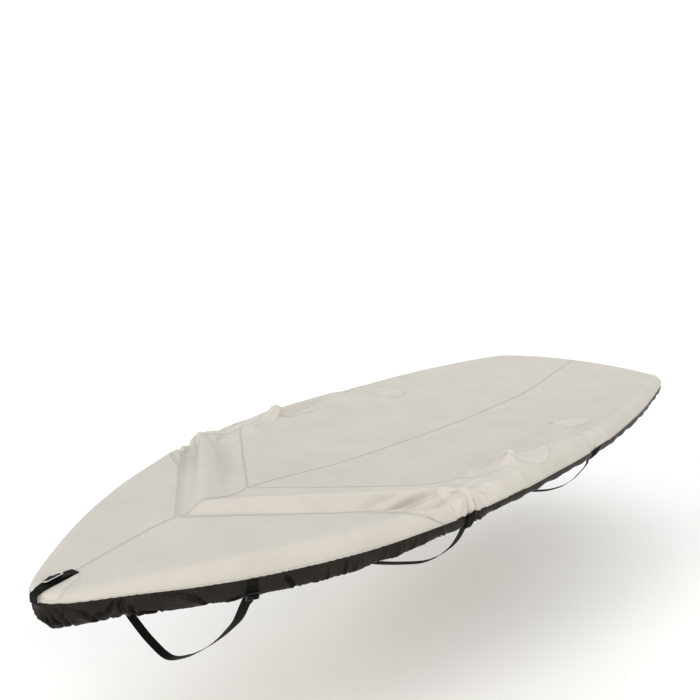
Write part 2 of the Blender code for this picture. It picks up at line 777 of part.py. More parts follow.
def build_strap_tabs(material, collection, guides):
    """Sew a short webbing tab over the skirt at each end of each strap."""
    up = Vector((0.0, 0.0, 1.0))
    for side in (1, -1):
        columns = skirt_columns(side)
        for strap in STRAPS:
            name = f"strap_tab_{strap.name}_{side_name(side)}"
            near = [k for k, column in enumerate(columns)
                    if abs(column[0].x - strap.x) < 3 * SKIRT_STEP and column[0].x > 0]
            points = [column[:-1] for column in columns[near[0]:near[-1] + 1]]
            faces = grid_faces(range(near[0], near[-1] + 1), SKIRT_ROWS - 1, side < 0)
            vertices = [point for column in points for point in column]
            item = add_mesh_object(name, vertices, faces, material, collection)
            add_lift(item, GAP)
            add_solidify(item, WEBBING, 1.0)
            point, aft, outward = rim_frame(strap.x, side)
            guide = add_block(f"{name}_guide", (TAB_WIDTH, TAB_HEIGHT * 2, 0.2), point,
                              (aft, up, outward), material, guides)
            guide.hide_render = True
            guide.display_type = "WIRE"
            add_cut(item, guide, "INTERSECT")


def add_ladder_frame(name, size, bars, bar, centre, axes, material, collection):
    """Make a flat frame with cross bars: a slab with a slot cut between each two bars."""
    item = add_block(name, size, centre, axes, material, collection, bevel=0.0006)
    across, along, out = axes
    pitch = (size[1] - bar) / (bars - 1)
    for k in range(bars - 1):
        middle = centre + along * (-size[1] / 2 + bar / 2 + pitch * (k + 0.5))
        slot = (size[0] - 2 * bar, pitch - bar, size[2] * 3)
        cutter = add_block(f"{name}_slot_{k}", slot, middle, axes, material, GUIDES)
        cutter.hide_render = True
        cutter.display_type = "WIRE"
        add_cut(item, cutter, "DIFFERENCE")
    return item


def buckle_frame(strap):
    """Give a buckle's centre and its axes: across, up the strap and outward."""
    route, across = strap_route(strap)
    left = strap.buckle_run
    for before, after, wide in zip(route, route[1:], across):
        step = (after - before).length
        if left <= step:
            break
        left -= step
    up = (before - after).normalized()
    wide = (wide - up * wide.dot(up)).normalized()
    out = wide.cross(up)
    centre = before.lerp(after, left / step) + out * (GAP + BUCKLE[2] / 2)
    return centre, (wide, up, out)


def build_strap_buckles(material, collection):
    """Set a plastic ladder buckle on each strap's port end, at the skirt's hem."""
    for strap in STRAPS:
        centre, axes = buckle_frame(strap)
        add_ladder_frame(f"strap_buckle_{strap.name}", BUCKLE, 3, BUCKLE_BAR, centre, axes,
                         material, collection)


def build_strap_tails(material, collection):
    """Leave the loose end of each strap standing up off its buckle, turned at the tip."""
    for strap in STRAPS:
        centre, (wide, up, out) = buckle_frame(strap)
        point, aft, outward = rim_frame(strap.x, 1)
        start = centre + out * (BUCKLE[2] / 2 + TAIL_STAND)
        rise = Vector((0.0, 0.0, strap.tail_rise))
        lean = aft * -strap.tail_lean
        stand = outward * max((point - start).dot(outward) + 0.020, 0.008)
        route = smooth_route([start - up * 0.010, start + up * 0.014,
                              start + rise * 0.5 + lean * 0.5 + stand * 0.8,
                              start + rise + lean + stand], 0.010)
        across = []
        for k in range(len(route)):
            turn = math.radians(TAIL_TWIST) * max(0.0, k - 2) / (len(route) - 3)
            across.append((wide * math.cos(turn) + out * math.sin(turn)).normalized())
        add_band(f"strap_tail_{strap.name}", route, across, TAIL_WIDTH, material, collection)


# ---- Bow ---------------------------------------------------------------------------------


def bow_route(lift):
    """Give the route of the bow webbing: its outer face, raised by lift off the cover."""
    route = []
    bend = LENGTH + NOSE_STAND - NOSE_RADIUS
    for k in range(10):
        x = BOW_WEBBING_START + (bend - BOW_WEBBING_START) * k / 9
        route.append(Vector((x, 0.0, spine_height(x) + lift)))
    nose = Vector((bend, 0.0, spine_height(bend) - NOSE_RADIUS))
    reach = NOSE_RADIUS + lift
    for k in range(1, 5):
        angle = math.radians(90 - 90 * k / 4)
        route.append(nose + Vector((reach * math.cos(angle), 0.0, reach * math.sin(angle))))
    route.append(route[-1] + Vector((0.0, 0.0, -BOW_WEBBING_HANG)))
    return route


def build_bow(webbing, steel, collection):
    """Sew the webbing tab over the stem and thread its steel ladder adjuster."""
    route = bow_route(BOW_STAND)
    across = [Vector((0.0, 1.0, 0.0))] * len(route)
    add_band("bow_webbing", route, across, STRAP_WIDTH, webbing, collection)
    rise = spine_height(ADJUSTER_X + 0.02) - spine_height(ADJUSTER_X - 0.02)
    along = Vector((0.04, 0.0, rise)).normalized()
    across = Vector((0.0, 1.0, 0.0))
    out = along.cross(across)
    stand = BOW_STAND + 2 * GAP + ADJUSTER[2] / 2
    centre = Vector((ADJUSTER_X, 0.0, spine_height(ADJUSTER_X))) + out * stand
    add_ladder_frame("bow_adjuster", (ADJUSTER[1], ADJUSTER[0], ADJUSTER[2]), 3, ADJUSTER_BAR,
                     centre, (across, along, out), steel, collection)


# ---- The whole cover ---------------------------------------------------------------------

clear_scene()
ORIGIN = Vector((MOUNT_X, 0.0, deck_height(MOUNT_X, 0.0) - CLOTH))
COVER = make_collection("boat_cover")
GUIDES = make_collection("guides")

canvas = make_material("beige_canvas", (0.66, 0.62, 0.54), 0.80)
patch_canvas = make_material("beige_patch_canvas", (0.68, 0.64, 0.56), 0.80)
nylon = make_material("black_nylon", (0.020, 0.019, 0.018), 0.42)
black_webbing = make_material("black_webbing", (0.012, 0.012, 0.012), 0.70)
plastic = make_material("black_plastic", (0.015, 0.015, 0.015), 0.45)
steel = make_material("bright_steel", (0.60, 0.60, 0.60), 0.28, 1.0)

build_panels(canvas, COVER)
build_patches(patch_canvas, COVER, GUIDES)
build_skirts(nylon, COVER)
build_strap_tabs(black_webbing, COVER, GUIDES)
build_belly_straps(black_webbing, COVER)
build_strap_buckles(plastic, COVER)
build_strap_tails(black_webbing, COVER)
build_bow(black_webbing, steel, COVER)
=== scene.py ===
"""Dressed model of a deck cover for a two-person sailing dinghy, as strapped on its boat.

The boat is left out. The top is beige coated canvas in six panels with sewn patches, and a
black nylon skirt is gathered on elastic below its edge. Webbing straps pass under the hull.

Frame: x forward, y to port, z up, origin under the top at mid-length. The form's tables keep
x from the transom and z from the gunwale, and `CoverForm` moves them to the frame.
"""
import logging
import math
from dataclasses import dataclass, field
from enum import IntEnum
from typing import NamedTuple, Sequence

import bmesh
import bpy
import numpy as np
from mathutils import Matrix, Vector


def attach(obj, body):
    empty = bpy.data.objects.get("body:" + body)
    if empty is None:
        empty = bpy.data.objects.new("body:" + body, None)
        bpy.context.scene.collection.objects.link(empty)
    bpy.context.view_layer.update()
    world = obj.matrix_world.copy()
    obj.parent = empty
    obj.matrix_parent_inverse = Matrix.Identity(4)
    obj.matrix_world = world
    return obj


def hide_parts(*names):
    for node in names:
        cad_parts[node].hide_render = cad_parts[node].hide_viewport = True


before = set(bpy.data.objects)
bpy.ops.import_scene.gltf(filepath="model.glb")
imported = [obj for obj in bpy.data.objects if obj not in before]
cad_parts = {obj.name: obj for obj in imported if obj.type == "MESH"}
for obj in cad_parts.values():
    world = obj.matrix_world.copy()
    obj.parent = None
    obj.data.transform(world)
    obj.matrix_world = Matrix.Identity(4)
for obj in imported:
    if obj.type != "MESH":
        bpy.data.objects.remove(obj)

Array = np.ndarray
Piece = bpy.types.Object
Material = bpy.types.Material
Tree = bpy.types.NodeTree
Socket = bpy.types.NodeSocket
LOG = logging.getLogger("boat_cover")
MM = 0.001


# ---- The form of the cover, from the same named values as the solids


class Side(IntEnum):
    """A side of the boat, as the sign of its distance from the centre line."""

    PORT = 1
    STARBOARD = -1

    @property
    def label(self) -> str:
        """Name the side as the solids do."""
        return self.name.lower()


class Seam(NamedTuple):
    """A chevron seam: its number, and its stations on the centre line and at the rim."""

    u: float
    centre_x: float
    rim_x: float


class Rim(NamedTuple):
    """The outer edge at a station: half-beam, crown height and drop of the lower edge."""

    x: float
    half_beam: float
    height: float
    drop: float


class Spine(NamedTuple):
    """The centre seam at a station, and how the deck bends from it out to the crown."""

    x: float
    height: float
    bend: float


class Section(NamedTuple):
    """One step of a cross-section: a place and a height."""

    place: float
    height: float


class Fold(NamedTuple):
    """A straight main fold, from one station and girth to another, and its half-width."""

    side: int
    x0: float
    girth0: float
    x1: float
    girth1: float
    lift0: float
    lift1: float
    width: float


class Tent(NamedTuple):
    """A bump where a deck fitting pokes the cloth up, or a dent beside one."""

    side: int
    x: float
    girth: float
    lift: float
    reach_fore: float
    reach_aft: float
    reach_side: float


class Hang(NamedTuple):
    """How the skirt hangs at a station: its drop, and how far the hem is drawn in."""

    x: float
    drop: float
    tuck: float


LENGTH = 4.075
STEM_HALF = 0.010
TRANSOM_U, HEM_U, HEM_V = 3.0, 4.0, 2.0
SEAMS = (Seam(0, LENGTH, LENGTH), Seam(1, 3.497, 2.890), Seam(2, 3.130, 2.430), Seam(3, 0, 0))
RIMS = (
    Rim(0.00, 0.572, 0.012, 0.068), Rim(0.30, 0.630, 0.024, 0.068),
    Rim(0.60, 0.680, 0.028, 0.070), Rim(1.00, 0.730, 0.031, 0.068),
    Rim(1.40, 0.757, 0.034, 0.072), Rim(1.80, 0.767, 0.040, 0.070),
    Rim(2.20, 0.758, 0.047, 0.070), Rim(2.60, 0.728, 0.053, 0.070),
    Rim(2.90, 0.666, 0.050, 0.072), Rim(3.20, 0.572, 0.044, 0.074),
    Rim(3.50, 0.436, 0.043, 0.074), Rim(3.70, 0.324, 0.036, 0.063),
    Rim(3.85, 0.227, 0.025, 0.045), Rim(3.95, 0.158, 0.016, 0.034),
    Rim(4.02, 0.102, 0.010, 0.029), Rim(4.055, 0.058, 0.005, 0.026),
    Rim(LENGTH, STEM_HALF, 0.001, 0.026))
SPINES = (
    Spine(0.00, 0.042, 2.2), Spine(0.20, 0.019, 2.2), Spine(0.45, -0.008, 2.0),
    Spine(0.77, -0.038, 2.0), Spine(1.26, -0.041, 2.0), Spine(1.69, -0.030, 2.0),
    Spine(2.06, -0.016, 2.0), Spine(2.61, 0.016, 1.8), Spine(2.81, 0.039, 1.5),
    Spine(3.13, 0.064, 1.2), Spine(3.497, 0.065, 1.1), Spine(3.92, 0.022, 1.1),
    Spine(3.99, 0.015, 1.1), Spine(4.055, 0.009, 1.1), Spine(LENGTH, 0.002, 1.1))
RIDGE = (Section(0.00, 0.00), Section(0.12, -0.22), Section(0.36, 1.00),
         Section(0.56, 0.42), Section(0.80, -0.18), Section(1.00, 0.00))
RIDGE_RUN = (Section(0.00, 0.022), Section(0.30, 0.033), Section(0.60, 0.040),
             Section(0.86, 0.042), Section(1.00, 0.022), Section(1.50, 0.000))
FOLDS = (
    Fold(0, 2.210, 0.640, 1.640, 0.715, 0.026, 0.006, 0.055),
    Fold(0, 2.230, 0.640, 2.450, 0.585, 0.024, 0.014, 0.045),
    Fold(0, 2.450, 0.585, 2.700, 0.590, 0.014, 0.012, 0.050),
    Fold(0, 2.420, 0.650, 2.560, 0.660, -0.007, -0.008, 0.035),
    Fold(1, 2.700, 0.560, 2.960, 0.500, -0.012, -0.002, 0.030),
    Fold(-1, 2.730, 0.590, 2.900, 0.520, -0.014, -0.004, 0.030),
    Fold(1, 2.930, 0.575, 3.254, 0.245, -0.018, -0.010, 0.055))
TENTS = (
    Tent(0, 2.215, 0.645, 0.012, 0.050, 0.090, 0.045),
    Tent(0, 1.430, 0.500, 0.026, 0.045, 0.140, 0.060),
    Tent(0, 1.520, 0.470, -0.008, 0.050, 0.040, 0.045))
HANGS = (
    Hang(0.00, 0.030, 0.022), Hang(0.60, 0.036, 0.026), Hang(1.20, 0.034, 0.030),
    Hang(1.80, 0.033, 0.030), Hang(2.40, 0.036, 0.030), Hang(2.90, 0.053, 0.030),
    Hang(3.20, 0.065, 0.030), Hang(3.70, 0.073, 0.032), Hang(3.95, 0.077, 0.045),
    Hang(LENGTH, 0.098, 0.075))


class Profile:
    """A smooth curve through one column of a table, which never overshoots its rows."""

    def __init__(self, rows: Sequence[tuple], column: str) -> None:
        """Fit the curve.

        Args:
            rows: the table, in rising order of its first column.
            column: the column that the curve gives.
        """
        self.xs = np.array([row[0] for row in rows], float)
        self.ys = np.array([getattr(row, column) for row in rows], float)
        steps = np.diff(self.ys) / np.diff(self.xs)
        before, after = steps[:-1], steps[1:]
        inner = np.where(before * after > 0, 2 * before * after / (before + after + 1e-12), 0.0)
        self.slopes = np.concatenate(([steps[0]], inner, [steps[-1]]))

    def __call__(self, x: Array) -> Array:
        """Read the curve, held level past its ends.

        Args:
            x: one or many places.

        Returns:
            The curve's values there.
        """
        x = np.clip(x, self.xs[0], self.xs[-1])
        i = np.clip(np.searchsorted(self.xs, x, side="right") - 1, 0, len(self.xs) - 2)
        width = self.xs[i + 1] - self.xs[i]
        t = (x - self.xs[i]) / width
        start = self.ys[i] * (1 + 2 * t) + self.slopes[i] * width * t
        end = self.ys[i + 1] * (3 - 2 * t) - self.slopes[i + 1] * width * (1 - t)
        return start * (1 - t) ** 2 + end * t * t


class ClothNoise:
    """Smooth seeded noise over a plane, for slackness that follows no pattern."""

    SIZE = 64

    def __init__(self, seed: int) -> None:
        """Fill the lattice from a seed."""
        self.lattice = np.random.default_rng(seed).uniform(-1.0, 1.0, (self.SIZE, self.SIZE))

    def __call__(self, a: Array, b: Array) -> Array:
        """Read the noise.

        Args:
            a: places along the lattice, in its own steps.
            b: places across it.

        Returns:
            Values from -1 to 1.
        """
        i, j = np.floor(a).astype(int), np.floor(b).astype(int)
        s, t = a - i, b - j
        s, t = s * s * (3 - 2 * s), t * t * (3 - 2 * t)
        n = self.SIZE
        low = self.lattice[i % n, j % n] * (1 - s) + self.lattice[(i + 1) % n, j % n] * s
        high = (self.lattice[i % n, (j + 1) % n] * (1 - s)
                + self.lattice[(i + 1) % n, (j + 1) % n] * s)
        return low * (1 - t) + high * t


def seam_ends(u: Array) -> tuple[Array, Array]:
    """Give the centre and rim stations of the chevron lines at u."""
    us = [seam.u for seam in SEAMS]
    return (np.interp(u, us, [seam.centre_x for seam in SEAMS]),
            np.interp(u, us, [seam.rim_x for seam in SEAMS]))


def span_between(first: float, last: float, inner: Array) -> Array:
    """Give the stations from one chevron line to another, by place out to the crown."""
    centre, rim = seam_ends(np.array([first, last]))
    return (centre[0] - centre[1]) * (1 - inner) + (rim[0] - rim[1]) * inner


@dataclass
class CoverForm:
    """The cover's surface: u runs aft from seam to seam, v outboard from the centre seam.

    v is 0 on the centre seam, 1 on the crown of the edge and 2 on the lower edge. u is a
    seam's number on that seam, 3 on the transom's crown and 4 on its lower edge.
    """

    cloth: float = 1.0 * MM
    roll: float = 55 * MM
    roll_share: float = 0.45
    fold_fall: float = 1.6
    tent_fall: float = 1.5
    transom_drop: float = 0.07
    mount_x: float = 2.025
    half_beam: Profile = Profile(RIMS, "half_beam")
    rim_height: Profile = Profile(RIMS, "height")
    edge_drop: Profile = Profile(RIMS, "drop")
    spine: Profile = Profile(SPINES, "height")
    bend: Profile = Profile(SPINES, "bend")
    ridge: Profile = Profile(RIDGE, "height")
    ridge_run: Profile = Profile(RIDGE_RUN, "height")
    skirt_drop: Profile = Profile(HANGS, "drop")
    skirt_tuck: Profile = Profile(HANGS, "tuck")

    def __post_init__(self) -> None:
        """Find the frame's origin in the tables' own terms."""
        deck = float(self.deck_height(np.array(self.mount_x), np.array(0.0)))
        self.origin = np.array([self.mount_x, 0.0, deck - self.cloth])

    def roll_at(self, half: Array) -> Array:
        """Give the radius of the edge's roll, which is less where the cover is narrow."""
        return np.minimum(self.roll, self.roll_share * half)

    def crown(self, x: Array) -> Array:
        """Give the crown's distance from the centre line at a station."""
        half = self.half_beam(x)
        return half - self.roll_at(half)

    def deck_height(self, x: Array, y: Array) -> Array:
        """Give the height of the bare deck cloth.

        Args:
            x: stations.
            y: distances from the centre line.

        Returns:
            Heights above the gunwale.
        """
        outboard = np.minimum(np.abs(y) / np.maximum(self.crown(x), 1e-4), 1.0)
        spine = self.spine(x)
        return spine + (self.rim_height(x) - spine) * outboard ** self.bend(x)

    def line_rise(self, fold: Fold, x: Array, girth: Array) -> Array:
        """Give the rise of one straight fold, full along it and fading beside it.

        Args:
            fold: the fold.
            x: stations.
            girth: distances from the centre seam, round the cloth.

        Returns:
            Heights off the bare deck.
        """
        dx, dg = fold.x1 - fold.x0, fold.girth1 - fold.girth0
        length = math.hypot(dx, dg)
        along = ((x - fold.x0) * dx + (girth - fold.girth0) * dg) / length
        beside = ((girth - fold.girth0) * dx - (x - fold.x0) * dg) / length
        held = np.clip(along / length, 0.0, 1.0)
        distance = np.hypot(beside, along - held * length) / fold.width
        return (fold.lift0 + (fold.lift1 - fold.lift0) * held) * np.exp(-distance ** self.fold_fall)

    def rise(self, u: Array, v: Array, x: Array, girth: Array, side: Side) -> Array:
        """Give the rise of the main folds off the bare deck.

        Args:
            u: places from stem to transom.
            v: places from the centre seam outboard.
            x: the stations of those places.
            girth: their distances from the centre seam.
            side: the side of the boat.

        Returns:
            Heights off the bare deck.
        """
        inside = (u > 1.0) & (u < 2.0)
        total = np.where(inside, self.ridge(u - 1.0) * self.ridge_run(v), 0.0)
        for fold in FOLDS:
            if fold.side in (0, side):
                total = total + self.line_rise(fold, x, girth)
        for tent in TENTS:
            if tent.side in (0, side):
                reach = np.where(x > tent.x, tent.reach_fore, tent.reach_aft)
                away = np.hypot((x - tent.x) / reach, (girth - tent.girth) / tent.reach_side)
                total = total + tent.lift * np.exp(-away ** self.tent_fall)
        return total

    def stations(self, u: Array, v: Array) -> tuple[Array, Array]:
        """Turn places on the top into stations and girths.

        Args:
            u: places from stem to transom.
            v: places from the centre seam outboard.

        Returns:
            The stations, and the distances from the centre seam round the cloth.
        """
        centre, rim = seam_ends(np.minimum(u, TRANSOM_U))
        inner = np.clip(v, 0.0, 1.0)
        past = np.clip(v - 1.0, 0.0, 1.0)
        return (centre + (rim - centre) * inner,
                inner * self.crown(rim) + self.edge_drop(rim) * past)

    def cloth_places(self, u: Array, v: Array) -> tuple[Array, Array]:
        """Give stations and girths along the cloth, which runs on down the transom."""
        x, girth = self.stations(u, np.abs(v))
        return x - self.transom_drop * np.clip(u - TRANSOM_U, 0.0, 1.0), girth

    def base(self, u: Array, v: Array, side: Side) -> Array:
        """Give points of the top with its main folds, in the frame.

        Args:
            u: places from stem to transom.
            v: places from the centre seam outboard, slightly negative past the seam.
            side: the side of the boat.

        Returns:
            Points, with x, y and z on the last axis.
        """
        u, v = np.broadcast_arrays(np.asarray(u, float), np.asarray(v, float))
        centre, rim = seam_ends(np.minimum(u, TRANSOM_U))
        half = self.half_beam(rim)
        roll = self.roll_at(half)
        inner = np.minimum(v, 1.0)
        side_turn = math.pi / 2 * np.clip(v - 1.0, 0.0, 1.0)
        end_turn = math.pi / 2 * np.clip(u - TRANSOM_U, 0.0, 1.0)
        x = centre + (rim - centre) * np.abs(inner)
        y = inner * (half - roll)
        level = np.cos(side_turn) * np.cos(end_turn)
        z = self.deck_height(x, y) - self.edge_drop(rim) * (1.0 - level)
        out_y, out_x = np.sin(side_turn), np.sin(end_turn)
        spread = roll / np.maximum(1.0, np.hypot(out_y, out_x))
        rise = self.rise(u, v, *self.stations(u, np.abs(v)), side)
        outward = np.stack([-out_x, side * out_y, level], axis=-1)
        outward /= np.linalg.norm(outward, axis=-1, keepdims=True) + 1e-9
        place = np.stack([x - spread * out_x, side * (y + spread * out_y), z], axis=-1)
        return place + outward * rise[..., None] - self.origin


# ---- Meshes

CLOTH_MAP = "cloth_m"


def unit(vectors: Array) -> Array:
    """Scale the vectors on the last axis to length one."""
    return vectors / (np.linalg.norm(vectors, axis=-1, keepdims=True) + 1e-12)


def square_to(directions: Array, along: Array) -> Array:
    """Turn directions by the least angle that sets them square to others."""
    return unit(directions - along * (directions * along).sum(-1, keepdims=True))


def smooth_step(x: Array, low: float, high: float) -> Array:
    """Rise smoothly from 0 at low to 1 at high."""
    t = np.clip((x - low) / (high - low), 0.0, 1.0)
    return t * t * (3 - 2 * t)


def grid_quads(rows: int, columns: int, flip: bool = False) -> list[tuple[int, ...]]:
    """Give the faces of a grid of points that is stored row by row."""
    at = np.arange(rows * columns).reshape(rows, columns)
    quads = np.stack([at[:-1, :-1], at[:-1, 1:], at[1:, 1:], at[1:, :-1]], axis=-1).reshape(-1, 4)
    return (quads[:, ::-1] if flip else quads).tolist()


def ring_quads(rings: int, around: int) -> list[tuple[int, ...]]:
    """Give the faces between closed rings of points that are stored one after another."""
    at = np.arange(rings * around).reshape(rings, around)
    turned = np.roll(at, -1, axis=1)
    return np.stack([at[:-1], turned[:-1], turned[1:], at[1:]], axis=-1).reshape(-1, 4).tolist()


def add_item(name: str, data: bpy.types.ID) -> Piece:
    """Put an object in the scene."""
    item = bpy.data.objects.new(name, data)
    bpy.context.scene.collection.objects.link(item)
    return item


def mesh_piece(name: str, points: Array, faces: list, cloth: Array | None = None,
               smooth: bool = True) -> Piece:
    """Make a piece.

    Args:
        name: what the piece is called.
        points: its points, in any array shape that ends in 3.
        faces: the corners of each face.
        cloth: metres along and across the cloth at each point, for the weave.
        smooth: whether its faces are shaded as one smooth skin.

    Returns:
        The new object, in the scene.
    """
    mesh = bpy.data.meshes.new(name)
    mesh.from_pydata(points.reshape(-1, 3).tolist(), [], faces)
    if cloth is not None:
        flat = np.zeros((len(mesh.vertices), 3))
        flat[:, :2] = cloth.reshape(-1, 2)
        layer = mesh.attributes.new(CLOTH_MAP, "FLOAT_VECTOR", "POINT")
        layer.data.foreach_set("vector", flat.ravel())
    mesh.polygons.foreach_set("use_smooth", [smooth] * len(mesh.polygons))
    mesh.update()
    return add_item(name, mesh)


def tidy_normals(item: Piece, upward: bool = False) -> None:
    """Turn a mesh's faces outward, or upward where it is an open sheet.

    Args:
        item: the piece.
        upward: whether it is a sheet that has to face up.
    """
    whole = bmesh.new()
    whole.from_mesh(item.data)
    bmesh.ops.recalc_face_normals(whole, faces=whole.faces)
    if upward and sum(face.normal.z for face in whole.faces) < 0:
        bmesh.ops.reverse_faces(whole, faces=whole.faces)
    whole.to_mesh(item.data)
    whole.free()


def path_lengths(points: Array) -> Array:
    """Give the distance along a path at each of its points."""
    steps = np.linalg.norm(np.diff(points, axis=0), axis=1)
    return np.concatenate(([0.0], np.cumsum(steps)))


def resample(points: Array, places: Array, *others: Array) -> list[Array]:
    """Read a path, and anything else known at its points, at distances along it.

    Args:
        points: the path.
        places: distances from its start.
        others: more values at the same points.

    Returns:
        The path's points at those places, and then the others' values there.
    """
    lengths = path_lengths(points)
    return [np.stack([np.interp(places, lengths, column) for column in values.T], axis=-1)
            for values in (points, *others)]


def even_path(points: Array, step: float) -> Array:
    """Give a path's points again at even distances of about a step."""
    total = path_lengths(points)[-1]
    return resample(points, np.linspace(0.0, total, int(total / step)))[0]


def smooth_path(points: Array, step: float, parts: int = 24) -> Array:
    """Draw a smooth curve through a few points.

    Args:
        points: the points that it passes.
        step: the distance between the points of the curve.
        parts: how many short lines each piece of the curve is worked out in.

    Returns:
        Evenly spaced points.
    """
    padded = np.vstack([2 * points[0] - points[1], points, 2 * points[-1] - points[-2]])
    dense = []
    for a, b, c, d in zip(padded, padded[1:], padded[2:], padded[3:]):
        for t in np.arange(parts) / parts:
            dense.append(0.5 * (2 * b + (c - a) * t + (2 * a - 5 * b + 4 * c - d) * t ** 2
                                + (3 * b - a - 3 * c + d) * t ** 3))
    dense = np.array([*dense, points[-1]])
    total = path_lengths(dense)[-1]
    return resample(dense, np.linspace(0.0, total, max(3, int(total / step) + 1)))[0]


@dataclass(frozen=True)
class StitchKind:
    """One kind of machine stitching: its pitch and the size and sinking of each stitch."""

    pitch: float = 4.2 * MM
    length: float = 3.3 * MM
    width: float = 0.95 * MM
    height: float = 0.55 * MM
    sunk: float = 0.2 * MM
    top_share: float = 0.55

    def blocks(self, path: Array, normals: Array) -> tuple[Array, Array]:
        """Set stitches along a path.

        Args:
            path: points of the row.
            normals: the cloth's outward direction at them.

        Returns:
            The corners of each stitch, eight to a stitch, and the row's faces.
        """
        total = path_lengths(path)[-1]
        count = int(total / self.pitch)
        if count < 1:
            return np.zeros((0, 3)), np.zeros((0, 4), int)
        places = (np.arange(count) + 0.5) * total / count
        centre, out = resample(path, places, normals)
        ahead, behind = (resample(path, places + sign * MM)[0] for sign in (1, -1))
        along = unit(ahead - behind)
        out = square_to(out, along)
        across = np.cross(out, along)
        corners = []
        for rise, shrink in ((-self.sunk, 1.0), (self.height, self.top_share)):
            for a, b in ((-1, -1), (1, -1), (1, 1), (-1, 1)):
                corners.append(centre + along * (a * self.length / 2 * shrink)
                               + across * (b * self.width / 2 * shrink) + out * rise)
        points = np.stack(corners, axis=1).reshape(-1, 3)
        box = np.array([(3, 2, 1, 0), (4, 5, 6, 7), (0, 1, 5, 4), (1, 2, 6, 5), (2, 3, 7, 6),
                        (3, 0, 4, 7)])
        faces = (box[None] + 8 * np.arange(count)[:, None, None]).reshape(-1, 4)
        return points, faces


@dataclass
class StitchRows:
    """Rows of stitching that are kept as one piece."""

    name: str
    kind: StitchKind
    points: list[Array] = field(default_factory=list)
    faces: list[Array] = field(default_factory=list)
    count: int = 0

    def add(self, path: Array, normals: Array) -> None:
        """Sew one row.

        Args:
            path: its points.
            normals: the cloth's outward direction at them.
        """
        points, faces = self.kind.blocks(path, normals)
        self.points.append(points)
        self.faces.append(faces + self.count)
        self.count += len(points)

    def build(self, material: Material, slot: str) -> Piece:
        """Make the piece from all its rows."""
        item = mesh_piece(self.name, np.concatenate(self.points),
                          np.concatenate(self.faces).tolist(), smooth=False)
        return fit(item, material, slot)


# Webbing and its ends are sewn with shorter and finer stitches than the cloth.
WEBBING_STITCH = StitchKind(3.2 * MM, 2.5 * MM, 0.8 * MM, 0.4 * MM)


def fit(item: Piece, material: Material, slot: str, *nodes: str) -> Piece:
    """Put a finished piece on the cover.

    Args:
        item: the piece.
        material: its finish.
        slot: the name of that finish in the part's record. It is not used.
        nodes: the solids whose place it takes.

    Returns:
        The same piece.
    """
    item.data.materials.clear()
    item.data.materials.append(material)
    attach(item, "root")
    if nodes:
        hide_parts(*nodes)
    LOG.info("%s: %d faces", item.name, len(item.data.polygons))
    return item


# ---- The cloth's own unevenness


class Crease(NamedTuple):
    """A listed crease: side 0 is both, and each point is (station, girth, depth).

    A trough has depth above nothing and a ridge below. The lip is the share of the depth
    that stands up beside a trough, on its inboard side, or on both sides where it is negative.
    """

    side: int
    width: float
    lip: float
    points: tuple[tuple[float, float, float], ...]

    def depth_at(self, x: Array, girth: Array) -> Array:
        """Give how far it moves the cloth, deepest along its line.

        Args:
            x: stations.
            girth: distances from the centre seam.

        Returns:
            Heights, below nothing in a trough.
        """
        near, depth, inboard = np.full(x.shape, 1e3), np.zeros(x.shape), np.zeros(x.shape)
        for (x0, g0, d0), (x1, g1, d1) in zip(self.points, self.points[1:]):
            length = math.hypot(x1 - x0, g1 - g0)
            ux, ug = (x1 - x0) / length, (g1 - g0) / length
            along = np.clip((x - x0) * ux + (girth - g0) * ug, 0.0, length)
            gap_x, gap_g = x - x0 - along * ux, girth - g0 - along * ug
            away = np.hypot(gap_x, gap_g)
            closer = away < near
            near = np.where(closer, away, near)
            depth = np.where(closer, d0 + (d1 - d0) * along / length, depth)
            inboard = np.where(closer, np.sign(-gap_g), inboard)
        sink = np.exp(-(near / self.width) ** 1.5)
        swell = np.exp(-((near - 2.1 * self.width) / self.width) ** 2)
        swell = swell * ((inboard > 0) | (self.lip < 0))
        return depth * (abs(self.lip) * swell - sink)

    def add_to(self, total: Array, x: Array, girth: Array) -> None:
        """Add it to heights, wherever it reaches.

        Args:
            total: the heights, which are changed.
            x: their stations.
            girth: their distances from the centre seam.
        """
        xs, gs = ([point[k] for point in self.points] for k in (0, 1))
        reach = 5 * self.width
        close = ((x > min(xs) - reach) & (x < max(xs) + reach)
                 & (girth > min(gs) - reach) & (girth < max(gs) + reach))
        if close.any():
            total[close] += self.depth_at(x[close], girth[close])


def creases(side: int, *rows: tuple) -> tuple[Crease, ...]:
    """Read creases from a table in millimetres.

    Args:
        side: the side of the boat, or 0 for both.
        rows: the width, the lip and then the points of each.

    Returns:
        The creases, in metres.
    """
    return tuple(
        Crease(side, width * MM, lip, tuple(tuple(c * MM for c in point) for point in points))
        for width, lip, *points in rows)


